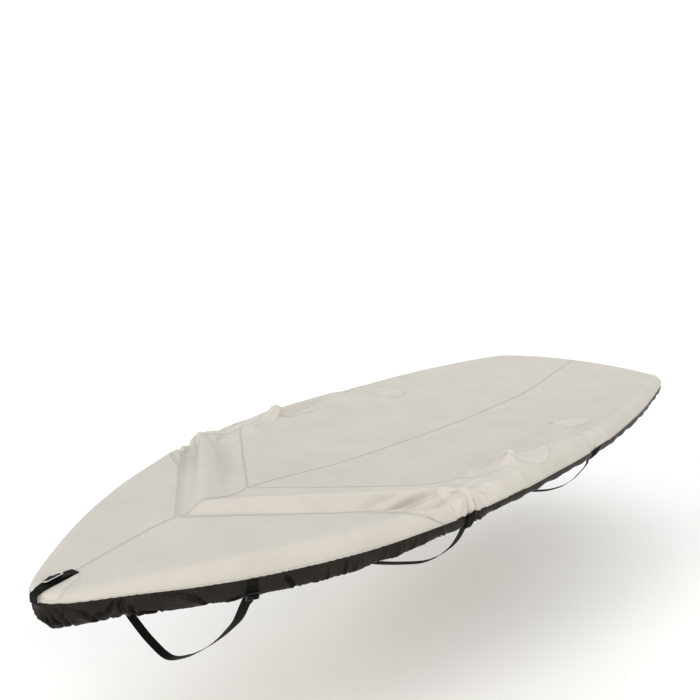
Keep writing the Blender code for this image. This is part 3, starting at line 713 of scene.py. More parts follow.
PORT_CREASES = creases(
    Side.PORT,
    (10, 0.18, (3000, 492, 3), (2940, 525, 13), (2898, 542, 21), (2843, 584, 24), (2779, 623, 19),
     (2665, 676, 6)),
    (12, 0.15, (2905, 600, 4), (2872, 616, 16), (2796, 648, 25), (2727, 667, 25), (2659, 678, 12)),
    (55, 0, (2930, 575, -13), (3254, 245, -7)),
    (30, 0, (2700, 560, -10), (2960, 500, -2)),
    (10, 0.2, (3075, 400, 1), (3034, 436, 6), (2957, 471, 8), (2892, 515, 7), (2850, 540, 2)),
    (9, 0.4, (2925, 548, 1), (2890, 562, 8), (2870, 568, 2)),
    (14, 0.2, (3170, 150, 0), (3137, 264, 6), (3103, 376, 7), (3060, 430, 0)),
    (13, 0, (3280, 85, 0), (3213, 163, -4), (3054, 337, -6), (2898, 493, -6), (2779, 615, -2)),
    (24, 0, (3190, 120, 0), (3130, 200, 5), (2980, 360, 7), (2830, 510, 6), (2740, 600, 0)),
    (9, 0.5, (2640, 684, 1), (2690, 700, 8), (2742, 722, 1)),
    (8, 0.5, (2634, 686, 1), (2680, 712, 10), (2706, 738, 2)),
    (8, 0.6, (2628, 688, 1), (2645, 715, 13), (2653, 745, 4)),
    (9, 0.5, (2622, 686, 1), (2608, 716, 9), (2590, 745, 2)),
    (9, 0.4, (2610, 684, 1), (2560, 712, 9), (2500, 738, 1)),
    (11, 0.3, (2586, 684, 0), (2520, 700, 7), (2452, 728, 0)),
    (12, 0, (2560, 676, 0), (2486, 699, -8), (2430, 722, 0)),
    (11, 0, (2560, 672, -4), (2452, 664, -5), (2340, 676, 0)),
    (11, 0.5, (2330, 606, 3), (2278, 618, 12), (2236, 628, 14), (2205, 640, 4)),
    (10, 0.4, (2212, 600, 3), (2190, 622, 10), (2150, 640, 6), (2090, 655, 1)),
    (12, 0.2, (2170, 665, 0), (2020, 672, 5), (1900, 690, 0)),
    (10, 0.3, (1560, 452, 0), (1500, 435, 6), (1430, 425, 0)),
    (12, 0.2, (1470, 560, 0), (1400, 590, 7), (1300, 590, 0)))
BOTH_CREASES = creases(
    0,
    (12, 0, (2300, 612, -2), (2210, 640, -8), (2050, 661, -9), (1850, 687, -8), (1640, 715, -2)),
    (17, 0, (2250, 590, 3), (2100, 618, 13), (1950, 640, 13), (1800, 658, 10), (1660, 677, 2)),
    (14, 0, (2230, 626, -5), (2205, 648, -10), (2180, 656, -3)),
    (34, 0, (1430, 530, -3), (1340, 530, -10), (1250, 520, -4)),
    (20, 0, (1150, 345, 2), (1180, 395, 12), (1215, 425, 3)))
FAR_CREASES = creases(
    Side.STARBOARD,
    (23, 0, (3180, 248, 3), (3020, 409, 14), (2895, 535, 26), (2838, 590, 28), (2806, 626, 14)),
    (44, 0, (3193, 107, -5), (3061, 240, -12), (2909, 394, -15), (2844, 476, -15),
     (2791, 557, -10), (2760, 620, -2)),
    (9, 0.3, (2852, 538, 3), (2837, 554, 13), (2812, 578, 5)),
    (17, 0, (2750, 620, -4), (2734, 645, -10), (2715, 680, -4)),
    (13, 0.4, (2960, 560, 1), (2880, 590, 10), (2800, 645, 12), (2770, 690, 5)),
    (9, 0.6, (2905, 600, 3), (2872, 628, 14), (2850, 660, 12), (2838, 700, 3)),
    (10, 0.4, (2760, 500, 1), (2700, 560, 9), (2640, 590, 1)),
    (9, 0.4, (2780, 590, 1), (2700, 550, 8), (2640, 520, 0)),
    (10, 0.4, (2640, 668, 1), (2560, 660, 8), (2480, 668, 1)),
    (9, 0.5, (2640, 686, 1), (2660, 716, 10), (2668, 745, 3)),
    (9, 0.5, (2634, 686, 1), (2700, 712, 8), (2735, 736, 1)),
    (9, 0.5, (2624, 686, 1), (2596, 716, 10), (2582, 745, 3)),
    (10, 0.4, (2610, 684, 1), (2545, 708, 7), (2500, 738, 0)),
    (10, 0.5, (2320, 606, 2), (2270, 618, 10), (2225, 632, 11), (2195, 646, 2)),
    (9, 0.4, (2200, 602, 2), (2160, 626, 7), (2090, 644, 0)),
    (10, 0.3, (1570, 446, 0), (1500, 430, 5), (1420, 424, 0)),
    (12, 0.2, (1460, 566, 0), (1380, 594, 5), (1290, 590, 0)))


@dataclass
class ClothRelief:
    """How the fitted cloth strays from its main folds: slackness, puckers and creases."""

    form: CoverForm
    slack_depth: float = 1.5 * MM
    slack_size: float = 0.42
    pucker_depth: float = 0.55 * MM
    pucker_length: float = 19 * MM
    pucker_reach: float = 20 * MM
    seam_slant: float = 0.72
    slack_layers: tuple[tuple[float, ...], ...] = (
        (1.0, 1.0, 3.1, 8.4, 1.0), (0.41, 0.34, 21.7, 5.2, 0.45), (0.17, 0.15, 1.9, 40.3, 0.16))
    seam_strengths: tuple[tuple[int, float], ...] = ((1, 1.5), (2, 1.3))
    far_strength: float = 7.0
    hem_strength: float = 1.5
    ripple: tuple[float, float, float] = (3.30, 0.16, 1.6)
    creases: tuple[Crease, ...] = PORT_CREASES + BOTH_CREASES + FAR_CREASES
    noise: ClothNoise = ClothNoise(7)

    def slackness(self, x: Array, signed: Array) -> Array:
        """Give the soft rise and fall of cloth that nothing holds down.

        Args:
            x: stations.
            signed: distances from the centre seam, negative to starboard.

        Returns:
            Heights, from wide swells down to small ones.
        """
        size = self.slack_size
        return self.slack_depth * sum(
            weight * self.noise(x / (long * size) + fore, signed / (wide * size) + beside)
            for long, wide, fore, beside, weight in self.slack_layers)

    def pucker(self, along: Array, off: Array, shift: float, strength: float = 1.0) -> Array:
        """Give the short wrinkles that a seam draws across itself.

        Args:
            along: distance along the seam.
            off: distance from the seam.
            shift: moves the pattern, so that no two seams match.
            strength: share of the usual depth.

        Returns:
            Heights that fade away from the seam.
        """
        wander = 0.9 * self.noise(along / 0.052 + shift, off / 0.030 + 2.7 * shift)
        wave = np.sin(2 * math.pi * (along / self.pucker_length + wander))
        uneven = np.clip(0.55 + 0.9 * self.noise(along / 0.120 + shift, shift * 3.3), 0.1, 1.4)
        fade = np.exp(-(np.abs(off) / self.pucker_reach) ** 1.3)
        return self.pucker_depth * strength * uneven * wave * fade

    def height(self, u: Array, v: Array, side: Side) -> Array:
        """Give how far the cloth stands off its main folds.

        Args:
            u: places from stem to transom.
            v: places outboard, negative past the centre seam.
            side: the side of the boat.

        Returns:
            Heights in metres, the same from both sides along the centre seam.
        """
        x, girth = self.form.cloth_places(u, v)
        total = self.slackness(x, side * np.where(v < 0, -girth, girth))
        station, reach, extra = self.ripple
        ripple = 1.0 + extra * np.exp(-((x - station) / reach) ** 2)
        total = total + self.pucker(x, girth, 1.3, 0.8) * ripple
        for number, strength in self.seam_strengths:
            inner = np.clip(np.abs(v), 0.0, 1.0)
            ahead, behind = (span_between(k, k + 1, inner) for k in (number - 1, number))
            off = (u - number) * np.where(u < number, ahead, behind) * self.seam_slant
            run = 0.86 * np.abs(v)
            total = total + self.pucker(run, off, 4.1 * number + side, strength)
            if side is Side.STARBOARD:
                wide = off / 3.2 - (number == 1) * 0.006
                total = total + self.pucker(0.7 * run, wide, 2.6 * number,
                                            self.far_strength) * inner
        edge = (HEM_V - np.abs(v)) * 0.09
        total = total + self.pucker(x * 0.8, edge, 9.7 + side, self.hem_strength)
        for crease in self.creases:
            if crease.side in (0, side):
                crease.add_to(total, x, girth)
        return total


@dataclass
class CoverSkin:
    """The finished surface of the top: its main folds and its unevenness."""

    form: CoverForm
    relief: ClothRelief
    nudge: float = 0.002
    passes: int = 24

    def normal(self, u: Array, v: Array, side: Side) -> Array:
        """Give the outward direction of the main folds.

        Args:
            u: places from stem to transom.
            v: places from the centre seam outboard.
            side: the side of the boat.

        Returns:
            Directions, with x, y and z on the last axis.
        """
        e = self.nudge
        aft = self.form.base(u + e, v, side) - self.form.base(u - e, v, side)
        outboard = self.form.base(u, v + e, side) - self.form.base(u, v - e, side)
        return unit(side * np.cross(outboard, aft))

    def surface(self, u: Array, v: Array, side: Side, lift: Array | float = 0.0) -> Array:
        """Give points of the cloth's face, raised by lift along its outward direction."""
        u, v = np.broadcast_arrays(np.asarray(u, float), np.asarray(v, float))
        rise = self.relief.height(u, v, side) + lift
        return self.form.base(u, v, side) + self.normal(u, v, side) * rise[..., None]

    def locate(self, x: Array, girth: Array) -> tuple[Array, Array]:
        """Find the places u and v, closer with every pass.

        Args:
            x: stations.
            girth: distances from the centre seam.

        Returns:
            u and v, within the top.
        """
        x, girth = np.broadcast_arrays(np.asarray(x, float), np.asarray(girth, float))
        v = np.full(x.shape, 0.5)
        for _ in range(self.passes):
            inner = np.clip(v, 0.0, 1.0)
            lines = [seam.centre_x + (seam.rim_x - seam.centre_x) * inner for seam in SEAMS]
            u = np.zeros(x.shape)
            for number, (ahead, behind) in enumerate(zip(lines, lines[1:])):
                inside = x < ahead
                share = np.clip((ahead - x) / (ahead - behind), 0.0, 1.0)
                u = np.where(inside, number + share, u)
            rim = seam_ends(u)[1]
            crown, drop = self.form.crown(rim), self.form.edge_drop(rim)
            found = np.where(girth < crown, girth / crown, 1.0 + (girth - crown) / drop)
            v = 0.5 * v + 0.5 * np.clip(found, 0.0, HEM_V)
        return u, v


# ---- The top: six panels and ten patches


class Panel(NamedTuple):
    """A panel of the top: the seams at its ends, its laps past them and its cut size."""

    name: str
    first: float
    last: float
    fore_lap: float
    aft_lap: float
    step: float
    cut: tuple[float, float]
    area: float


class PatchCut(NamedTuple):
    """A reinforcement patch: its outline as (station, girth) points and its cut size."""

    name: str
    outline: tuple[tuple[float, float], ...]
    rounding: float
    cut: tuple[float, float]
    area: float

    def covers(self, x: Array, girth: Array) -> Array:
        """Give how much the patch covers places on the top.

        Args:
            x: their stations.
            girth: their distances from the centre seam.

        Returns:
            0 outside the patch and 1 well inside it.
        """
        outline = np.array(self.outline)
        low, high = outline.min(axis=0) - 0.01, outline.max(axis=0) + 0.01
        share = np.zeros(x.shape)
        close = (x > low[0]) & (x < high[0]) & (girth > low[1]) & (girth < high[1])
        if not close.any():
            return share
        px, pg = x[close], girth[close]
        near, inside = np.full(px.shape, 1e3), np.zeros(px.shape, bool)
        for (x0, g0), (x1, g1) in zip(outline, np.roll(outline, -1, axis=0)):
            along = np.clip(((px - x0) * (x1 - x0) + (pg - g0) * (g1 - g0))
                            / ((x1 - x0) ** 2 + (g1 - g0) ** 2), 0.0, 1.0)
            near = np.minimum(near, np.hypot(px - x0 - along * (x1 - x0),
                                             pg - g0 - along * (g1 - g0)))
            crosses = (g0 > pg) != (g1 > pg)
            reach = x0 + (pg - g0) * (x1 - x0) / np.where(crosses, g1 - g0, 1.0)
            inside ^= crosses & (px < reach)
        share[close] = inside * smooth_step(near, 2 * MM, 14 * MM)
        return share


def patch_cut(name: str, rounding: float, cut: tuple[float, float], area: float,
              *outline: tuple[float, float]) -> PatchCut:
    """Read a patch that is drawn in millimetres.

    Args:
        name: what it is called.
        rounding: the radius of its corners.
        cut: its width and length as cut, in metres.
        area: its area in square metres.
        outline: the station and girth of each corner.

    Returns:
        The patch, in metres.
    """
    points = tuple((x * MM, girth * MM) for x, girth in outline)
    return PatchCut(name, points, rounding * MM, cut, area)


PATCH_CUTS = (
    patch_cut("bow_patch", 5, (0.14, 0.065), 0.0062, (3933, 11), (3935, 30), (3941, 50),
        (3970, 55), (4002, 61), (4034, 61), (4054, 60), (4069, 50), (4069, 11)),
    patch_cut("shroud_patch", 9, (0.19, 0.53), 0.086, (2778, 612), (2660, 610), (2545, 612),
        (2452, 633), (2324, 657), (2273, 676), (2284, 710), (2276, 740), (2268, 900), (2760, 900),
        (2766, 700), (2772, 655)),
    patch_cut("tongue_patch", 14, (0.16, 0.36), 0.047, (2236, 600), (2232, 656), (2195, 705),
        (2130, 735), (2060, 738), (1995, 726), (1935, 700), (1895, 664), (1890, 628), (1925, 603),
        (2000, 592), (2130, 590)),
    patch_cut("cleat_patch", 20, (0.2, 0.26), 0.0345, (1210, 575), (1245, 620), (1310, 640),
        (1385, 622), (1440, 575), (1456, 515), (1425, 470), (1355, 452), (1280, 470), (1225, 515)),
    patch_cut("aft_patch", 9, (0.14, 0.29), 0.0357, (1612, 684), (1560, 688), (1470, 694),
        (1376, 694), (1366, 730), (1350, 900), (1628, 900), (1618, 730)))
SEAM_DRAW = (Section(0.72, 0.0), Section(0.905, -0.045), Section(0.99, -0.061),
             Section(1.19, -0.052), Section(1.35, -0.032), Section(1.52, -0.007),
             Section(1.685, 0.032), Section(1.80, 0.066), Section(1.90, 0.112), Section(2.0, 0.15))


def patched(x: Array, girth: Array) -> Array:
    """Give 1 where any patch covers the top and 0 where none does."""
    return np.max([cut.covers(x, girth) for cut in PATCH_CUTS], axis=0)


@dataclass
class LineSpread:
    """Where a panel's lines lie: at fixed distances by its ends and even between them."""

    head: Array
    tail: Array
    count: int

    def __post_init__(self) -> None:
        """Work out each line's fixed distance, and its share of the whole length."""
        even = np.linspace(0.0, 1.0, self.count + 2)[1:-1]
        between = self.head[-1] * (1 - even) - self.tail[0] * even
        self.fixed = np.concatenate((self.head, between, -self.tail))[:, None]
        self.share = np.concatenate((0 * self.head, even, 0 * self.tail + 1))[:, None]

    def places(self, length: Array) -> Array:
        """Give the lines' distances, one row a line, along one or many lengths."""
        return self.fixed + self.share * length


@dataclass
class CanvasTop:
    """The six cloth panels, lapped and felled at their seams, with their stitching."""

    skin: CoverSkin
    canvas: Material
    thread: Material
    lap: float = 7 * MM
    under: float = 5 * MM
    lap_lift: float = 0.95 * MM
    under_lift: float = -0.15 * MM
    raw_edges: tuple[float, float] = (0.10 * MM, -0.3 * MM)
    lap_reach: float = 17 * MM
    seam_lines: tuple[float, ...] = (0.0, 4 * MM, 8 * MM, 12 * MM)
    edge_fold: float = 1.5 * MM
    under_patch: float = 2.2 * MM
    hem_row: float = 1.93
    column_step: float = 6.0 * MM
    deck_width: float = 0.66
    narrow: float = 40 * MM
    roll_columns: int = 20
    transom_rows: int = 18
    draw_reach: float = 0.45
    seam_rows: tuple[float, float] = (-3.4 * MM, 3.4 * MM)
    stitch: StitchKind = StitchKind()
    panels: tuple[Panel, ...] = (
        Panel("foredeck", 0.0, 1.0, 0.0, 5 * MM, 4.6 * MM, (0.72, 1.20), 0.39),
        Panel("insert", 1.0, 2.0, 7 * MM, 7 * MM, 3.4 * MM, (0.50, 1.08), 0.35),
        Panel("cockpit", 2.0, 4.0, 5 * MM, 0.0, 6.7 * MM, (0.86, 3.25), 2.24))

    def seam_lift(self, distance: Array, over: bool) -> Array:
        """Give how far a lap stands off, full on the seam and gone past its rows."""
        lift = self.lap_lift if over else self.under_lift
        return lift * (1 - smooth_step(distance, self.seam_lines[2], self.lap_reach))

    def panel_points(self, panel: Panel, side: Side) -> tuple[Array, Array]:
        """Work out a panel's points, with its laps and turned edges.

        Args:
            panel: the panel to work out.
            side: the side of the boat.

        Returns:
            Rows of points from stem to transom, and their places in metres of cloth.
        """
        form = self.skin.form
        last = min(panel.last, TRANSOM_U)
        longest = max(span_between(panel.first, last, np.array([0.0, 1.0])))
        head, tail = np.array([0, 0.5 * MM, 2 * MM]), np.array([12 * MM, 6 * MM, 0.0])
        if panel.fore_lap:
            head = np.array([-panel.fore_lap, -panel.fore_lap, *self.seam_lines])
        if panel.aft_lap:
            tail = np.array([*self.seam_lines[::-1], -panel.aft_lap, -panel.aft_lap])
        rows = LineSpread(head, tail, int(longest / panel.step))
        lap = self.lap if side is Side.PORT else self.under
        beside = np.array([-lap, -lap, *self.seam_lines, self.lap_reach])
        columns = LineSpread(beside, np.array([0.0]), int(self.deck_width / self.column_step))
        even = np.linspace(panel.first, last, len(rows.fixed))
        crown = form.crown(seam_ends(even)[1])
        room = np.minimum(1.0, crown / self.narrow)
        deck = (columns.places(crown / room) * room / crown).T
        roll = 1.0 + np.arange(1, self.roll_columns + 1) / self.roll_columns
        v = np.hstack([deck, np.tile(roll, (len(even), 1))])
        inner = np.clip(np.abs(v), 0.0, 1.0)
        span = span_between(panel.first, last, inner)
        placed = rows.places(span)
        u = panel.first + placed / span * (last - panel.first)
        if panel.fore_lap:
            u = np.where(placed < 0, panel.first + placed / span_between(
                panel.first - 1, panel.first, inner), u)
        if panel.aft_lap:
            u = np.where(placed > span, last + (placed - span) / span_between(
                last, last + 1, inner), u)
        if panel.last > TRANSOM_U:
            drop = TRANSOM_U + np.arange(1, self.transom_rows + 1) / self.transom_rows
            u = np.vstack([u, np.tile(drop[:, None], (1, v.shape[1]))])
            v = np.vstack([v, np.tile(v[-1:], (len(drop), 1))])
        return self.finish_edges(panel, side, self.drawn(u, v), v)

    def drawn(self, u: Array, v: Array) -> Array:
        """Bend the fore seam near the edge, where the strap and the fold draw the cloth."""
        shift = Profile(SEAM_DRAW, "height")(np.abs(v))
        return u + shift * np.clip(1 - np.abs(u - 1.0) / self.draw_reach, 0.0, 1.0)

    def finish_edges(self, panel: Panel, side: Side, u: Array, v: Array) -> tuple[Array, Array]:
        """Lift a panel's laps, drop their raw edges and turn its lower edge under.

        Args:
            panel: the panel.
            side: its side of the boat.
            u: places of its points from stem to transom.
            v: their places from the centre seam outboard.

        Returns:
            Rows of points, and their places in metres of cloth.
        """
        form = self.skin.form
        crown = form.crown(seam_ends(np.minimum(u, TRANSOM_U))[1])
        over_centre = side is Side.PORT
        lift = self.seam_lift(np.abs(v) * crown, over_centre)
        lift[:, 0] = self.raw_edges[0 if over_centre else 1]
        inner = np.clip(np.abs(v), 0.0, 1.0)
        for number, lap, row in ((panel.first, panel.fore_lap, 0), (panel.last, panel.aft_lap, -1)):
            if not lap:
                continue
            behind = number if number == panel.first else number - 1
            off = np.abs(u - number) * span_between(behind, behind + 1, inner)
            over = panel.name == "insert"
            raised = self.seam_lift(off, over)
            lift = np.where(off < self.lap_reach, lift + raised, lift)
            if over:
                lift[row] -= 0.75 * self.lap_lift
        x, girth = form.cloth_places(u, v)
        lift = lift - self.under_patch * patched(x, girth)
        points = self.skin.surface(u, v, side, lift)
        cloth = np.stack([x, girth * np.sign(v + 1e-9)], axis=-1)
        turned = self.skin.surface(u[:, -1:], v[:, -1:] - 0.10, side, -self.edge_fold)
        under = points[:, -1:] - self.skin.normal(u[:, -1:], v[:, -1:], side) * self.edge_fold
        points = np.concatenate([points, under, turned], axis=1)
        cloth = np.concatenate([cloth, cloth[:, -1:], cloth[:, -1:]], axis=1)
        if panel.last > TRANSOM_U:
            below = np.concatenate([v[-1:], v[-1:, -1:], v[-1:, -1:]], axis=1)
            out = self.skin.normal(np.full(below.shape, HEM_U), below, side)
            inside = points[-4:-3] - out * self.edge_fold
            points = np.concatenate([points, points[-1:] - out * self.edge_fold, inside])
            cloth = np.concatenate([cloth, cloth[-1:], cloth[-1:]])
        return points, cloth

    def build_panels(self) -> None:
        """Cut every panel and lay it in place."""
        for side in Side:
            for panel in self.panels:
                points, cloth = self.panel_points(panel, side)
                faces = grid_quads(*points.shape[:2], flip=side is Side.STARBOARD)
                node = f"{panel.name}_{side.label}"
                item = mesh_piece(f"{node}_cloth", points, faces, cloth)
                fit(item, self.canvas, "canvas", node)

    def sew_row(self, rows: StitchRows, u: Array, v: Array, side: Side, lift: float) -> None:
        """Sew one row along places on the top, wherever no patch covers it.

        Args:
            rows: the rows that it joins.
            u: its places from stem to transom.
            v: its places from the centre seam outboard.
            side: the side of the boat.
            lift: how far it stands off the cloth.
        """
        u = self.drawn(u, v)
        open_air = patched(*self.skin.form.stations(u, np.abs(v))) < 0.1
        for run in np.split(np.arange(len(u)), np.flatnonzero(np.diff(open_air)) + 1):
            if open_air[run[0]] and len(run) > 3:
                rows.add(self.skin.surface(u[run], v[run], side, lift),
                         self.skin.normal(u[run], v[run], side))

    def sew(self) -> None:
        """Run the double rows over each seam and the single row above the lower edge."""
        skin = self.skin
        rows = StitchRows("top_stitching", self.stitch)
        ends = self.lap_lift + 0.1 * MM
        along = np.linspace(0.004, 2.996, 1400)
        for row in self.seam_rows:
            v = np.abs(row) / skin.form.crown(seam_ends(along)[1])
            side = Side.PORT if row > 0 else Side.STARBOARD
            self.sew_row(rows, along[v < 0.45], v[v < 0.45], side, ends)
        across = np.linspace(0.012, 1.99, 320)
        for number in (1, 2):
            for side in Side:
                for row in self.seam_rows:
                    fore = number if row > 0 else number - 1
                    span = span_between(fore, fore + 1, np.minimum(across, 1.0))
                    u = number + row / span / skin.relief.seam_slant
                    self.sew_row(rows, u, across, side, ends)
        around = np.linspace(0.02, 3.0, 1400)
        low = np.linspace(self.hem_row, 0.01, 260)
        for side in Side:
            self.sew_row(rows, around, np.full(around.shape, self.hem_row), side, 0.1 * MM)
            self.sew_row(rows, np.full(low.shape, HEM_V + self.hem_row), low, side, 0.1 * MM)
        rows.build(self.thread, "canvas")


@dataclass
class SewnPatches:
    """The doubled patches where fittings rub, each turned under and sewn round."""

    skin: CoverSkin
    canvas: Material
    thread: Material
    lift: float = 1.25 * MM
    step: float = 4.5 * MM
    ring_step: float = 6.5 * MM
    stitch: StitchKind = StitchKind()
    cuts: tuple[PatchCut, ...] = PATCH_CUTS

    def outline(self, cut: PatchCut) -> Array:
        """Round a patch's corners softly.

        Args:
            cut: the patch.

        Returns:
            Even points of its outline, as stations and girths.
        """
        closed = np.array([*cut.outline, cut.outline[0]])
        count = int(path_lengths(closed)[-1] / self.step)
        places = np.arange(count) * path_lengths(closed)[-1] / count
        points = resample(closed, places)[0]
        u, v = self.skin.locate(*points.T)
        girth = self.skin.form.stations(u, np.minimum(v, 1.955))[1]
        points = np.stack([points[:, 0], np.minimum(points[:, 1], girth)], axis=-1)
        width = max(1, int(round(cut.rounding / self.step)))
        weights = np.hanning(2 * width + 3)[1:-1]
        blurred = sum(w * np.roll(points, k - width, axis=0) for k, w in enumerate(weights))
        return blurred / weights.sum()

    def rings(self, outline: Array) -> list[Array]:
        """Give rings of points from a patch's outline in to its middle.

        Args:
            outline: the outline's points.

        Returns:
            The rings: the outline twice, and then ever smaller ones.
        """
        ahead, behind = np.roll(outline, -1, axis=0), np.roll(outline, 1, axis=0)
        along = unit(ahead - behind)
        middle = outline.mean(axis=0)
        toward = unit(middle - outline)
        lean = np.abs(toward[:, 0] * along[:, 1] - toward[:, 1] * along[:, 0])[:, None]
        inward = toward / np.clip(lean, 0.35, 1.0)
        close = [outline, outline, outline + inward * 1.2 * MM, outline + inward * 3.5 * MM,
                 outline + inward * 7 * MM]
        reach = np.linalg.norm(close[-1] - middle, axis=1).max()
        count = int(reach / self.ring_step)
        return close + [middle + (close[-1] - middle) * (1 - k / count) for k in range(1, count)]

    def build(self) -> None:
        """Make every patch on both sides, and the rows round them."""
        rows = StitchRows("patch_stitching", self.stitch)
        for cut in self.cuts:
            outline = self.outline(cut)
            rings = self.rings(outline)
            for side in Side:
                lifts = [0.15 * MM, 0.7 * self.lift] + [self.lift] * (len(rings) - 2)
                points = [self.skin.surface(*self.skin.locate(*ring.T), side, lift)
                          for ring, lift in zip(rings, lifts)]
                cloth = [ring * (1.0, side) for ring in rings]
                item = self.fill(f"{cut.name}_{side.label}", points, cloth)
                u, v = self.skin.locate(*np.vstack([rings[3], rings[3][:1]]).T)
                rows.add(self.skin.surface(u, v, side, self.lift + 0.1 * MM),
                         self.skin.normal(u, v, side))
        rows.build(self.thread, "patch_canvas")

    @staticmethod
    def below(cut: PatchCut) -> str:
        """Name the panel that a patch is sewn to."""
        return {"bow_patch": "foredeck", "shroud_patch": "insert"}.get(cut.name, "cockpit")

    def fill(self, node: str, points: list[Array], cloth: list[Array]) -> Piece:
        """Make a patch's mesh from its rings, closed at the middle.

        Args:
            node: the solid that it stands for.
            points: rings of points from its outline in.
            cloth: the places of those points in metres of cloth.

        Returns:
            The patch, fitted.
        """
        count = len(points[0])
        start = (len(points) - 1) * count
        faces = ring_quads(len(points), count)
        faces += [(start + k, start + (k + 1) % count, start + count) for k in range(count)]
        stack, flat = (np.vstack([*rings, rings[-1].mean(axis=0, keepdims=True)])
                       for rings in (points, cloth))
        item = mesh_piece(f"{node}_cloth", stack, faces, flat)
        tidy_normals(item, upward=True)
        return fit(item, self.canvas, "patch_canvas", node)


# ---- The gathered skirt


class Wave(NamedTuple):
    """One long wave of the gathered skirt."""

    length: float
    phase: float
    depth: float


SKIRT_CREASES = creases(
    0,
    (5, -0.6, (6, 0, 2), (20, 45, 10), (18, 140, 11)),
    (5, -0.6, (14, 0, 2), (48, 60, 11), (50, 140, 10)),
    (4.5, -0.6, (30, 2, 2), (74, 60, 11), (88, 135, 9)),
    (6, -0.4, (50, 6, 2), (104, 48, 12), (134, 125, 8)),
    (4.5, -0.45, (95, 12, 5), (150, 22, 10), (187, 46, 11), (214, 74, 10), (222, 104, 4)),
    (4.5, -0.45, (246, 0, 9), (214, 30, 11), (176, 30, 6)),
    (8, -0.35, (248, 0, 8), (268, 36, 15), (272, 90, 10)),
    (7.5, -0.45, (262, 8, 6), (292, 30, 15), (298, 86, 11)),
    (4, -0.5, (225, 52, 4), (236, 78, 9), (238, 103, 5)),
    (4, -0.5, (250, 56, 4), (254, 82, 8), (252, 103, 5)),
    (4.5, -0.7, (298, 40, 8), (335, 44, 9), (372, 48, 10), (384, 72, 2)),
    (4, -0.5, (318, 60, 6), (326, 96, 8)),
    (4, -0.5, (350, 66, 6), (346, 96, 6)),
    (5, -0.35, (357, 6, 5), (449, 12, 9), (497, 24, 10), (536, 56, 9), (562, 84, 2)),
    (4.5, -0.5, (380, 60, 7), (420, 70, 9), (448, 86, 3)),
    (5.5, -0.5, (592, 45, 4), (618, 44, 11), (636, 36, 6)),
    (4, -0.5, (600, 70, 6), (625, 84, 4)),
    (6, -0.45, (786, 4, 6), (806, 22, 12), (830, 46, 12), (848, 76, 4)),
    (4.5, -0.55, (852, 50, 4), (862, 82, 9)),
    (5, -0.55, (884, 52, 5), (900, 62, 11), (906, 84, 5)),
    (3.5, -0.8, (948, 12, 2), (938, 48, 5), (930, 80, 3)),
    (5, -0.7, (1018, 6, 5), (1004, 40, 9), (994, 82, 5)),
    (3.5, -0.7, (1062, 10, 2), (1046, 46, 4), (1036, 78, 2)),
    (4.5, -0.55, (1128, 48, 4), (1142, 60, 9), (1146, 78, 4)),
    (3.5, -0.7, (1182, 10, 2), (1168, 40, 5), (1156, 72, 3)),
    (3.5, -0.7, (1242, 10, 2), (1228, 40, 5), (1218, 70, 3)),
    (4, -0.7, (1318, 10, 3), (1300, 36, 6), (1286, 66, 3)),
    (3.5, -0.7, (1372, 8, 2), (1356, 36, 5), (1346, 62, 3)),
    (4.5, -0.6, (1440, 6, 4), (1462, 30, 7), (1470, 60, 4)),
    (4.5, -0.6, (1640, 4, 4), (1664, 26, 7), (1674, 52, 4)),
    (4.5, -0.6, (1800, 6, 3), (1782, 28, 6), (1776, 50, 4)))


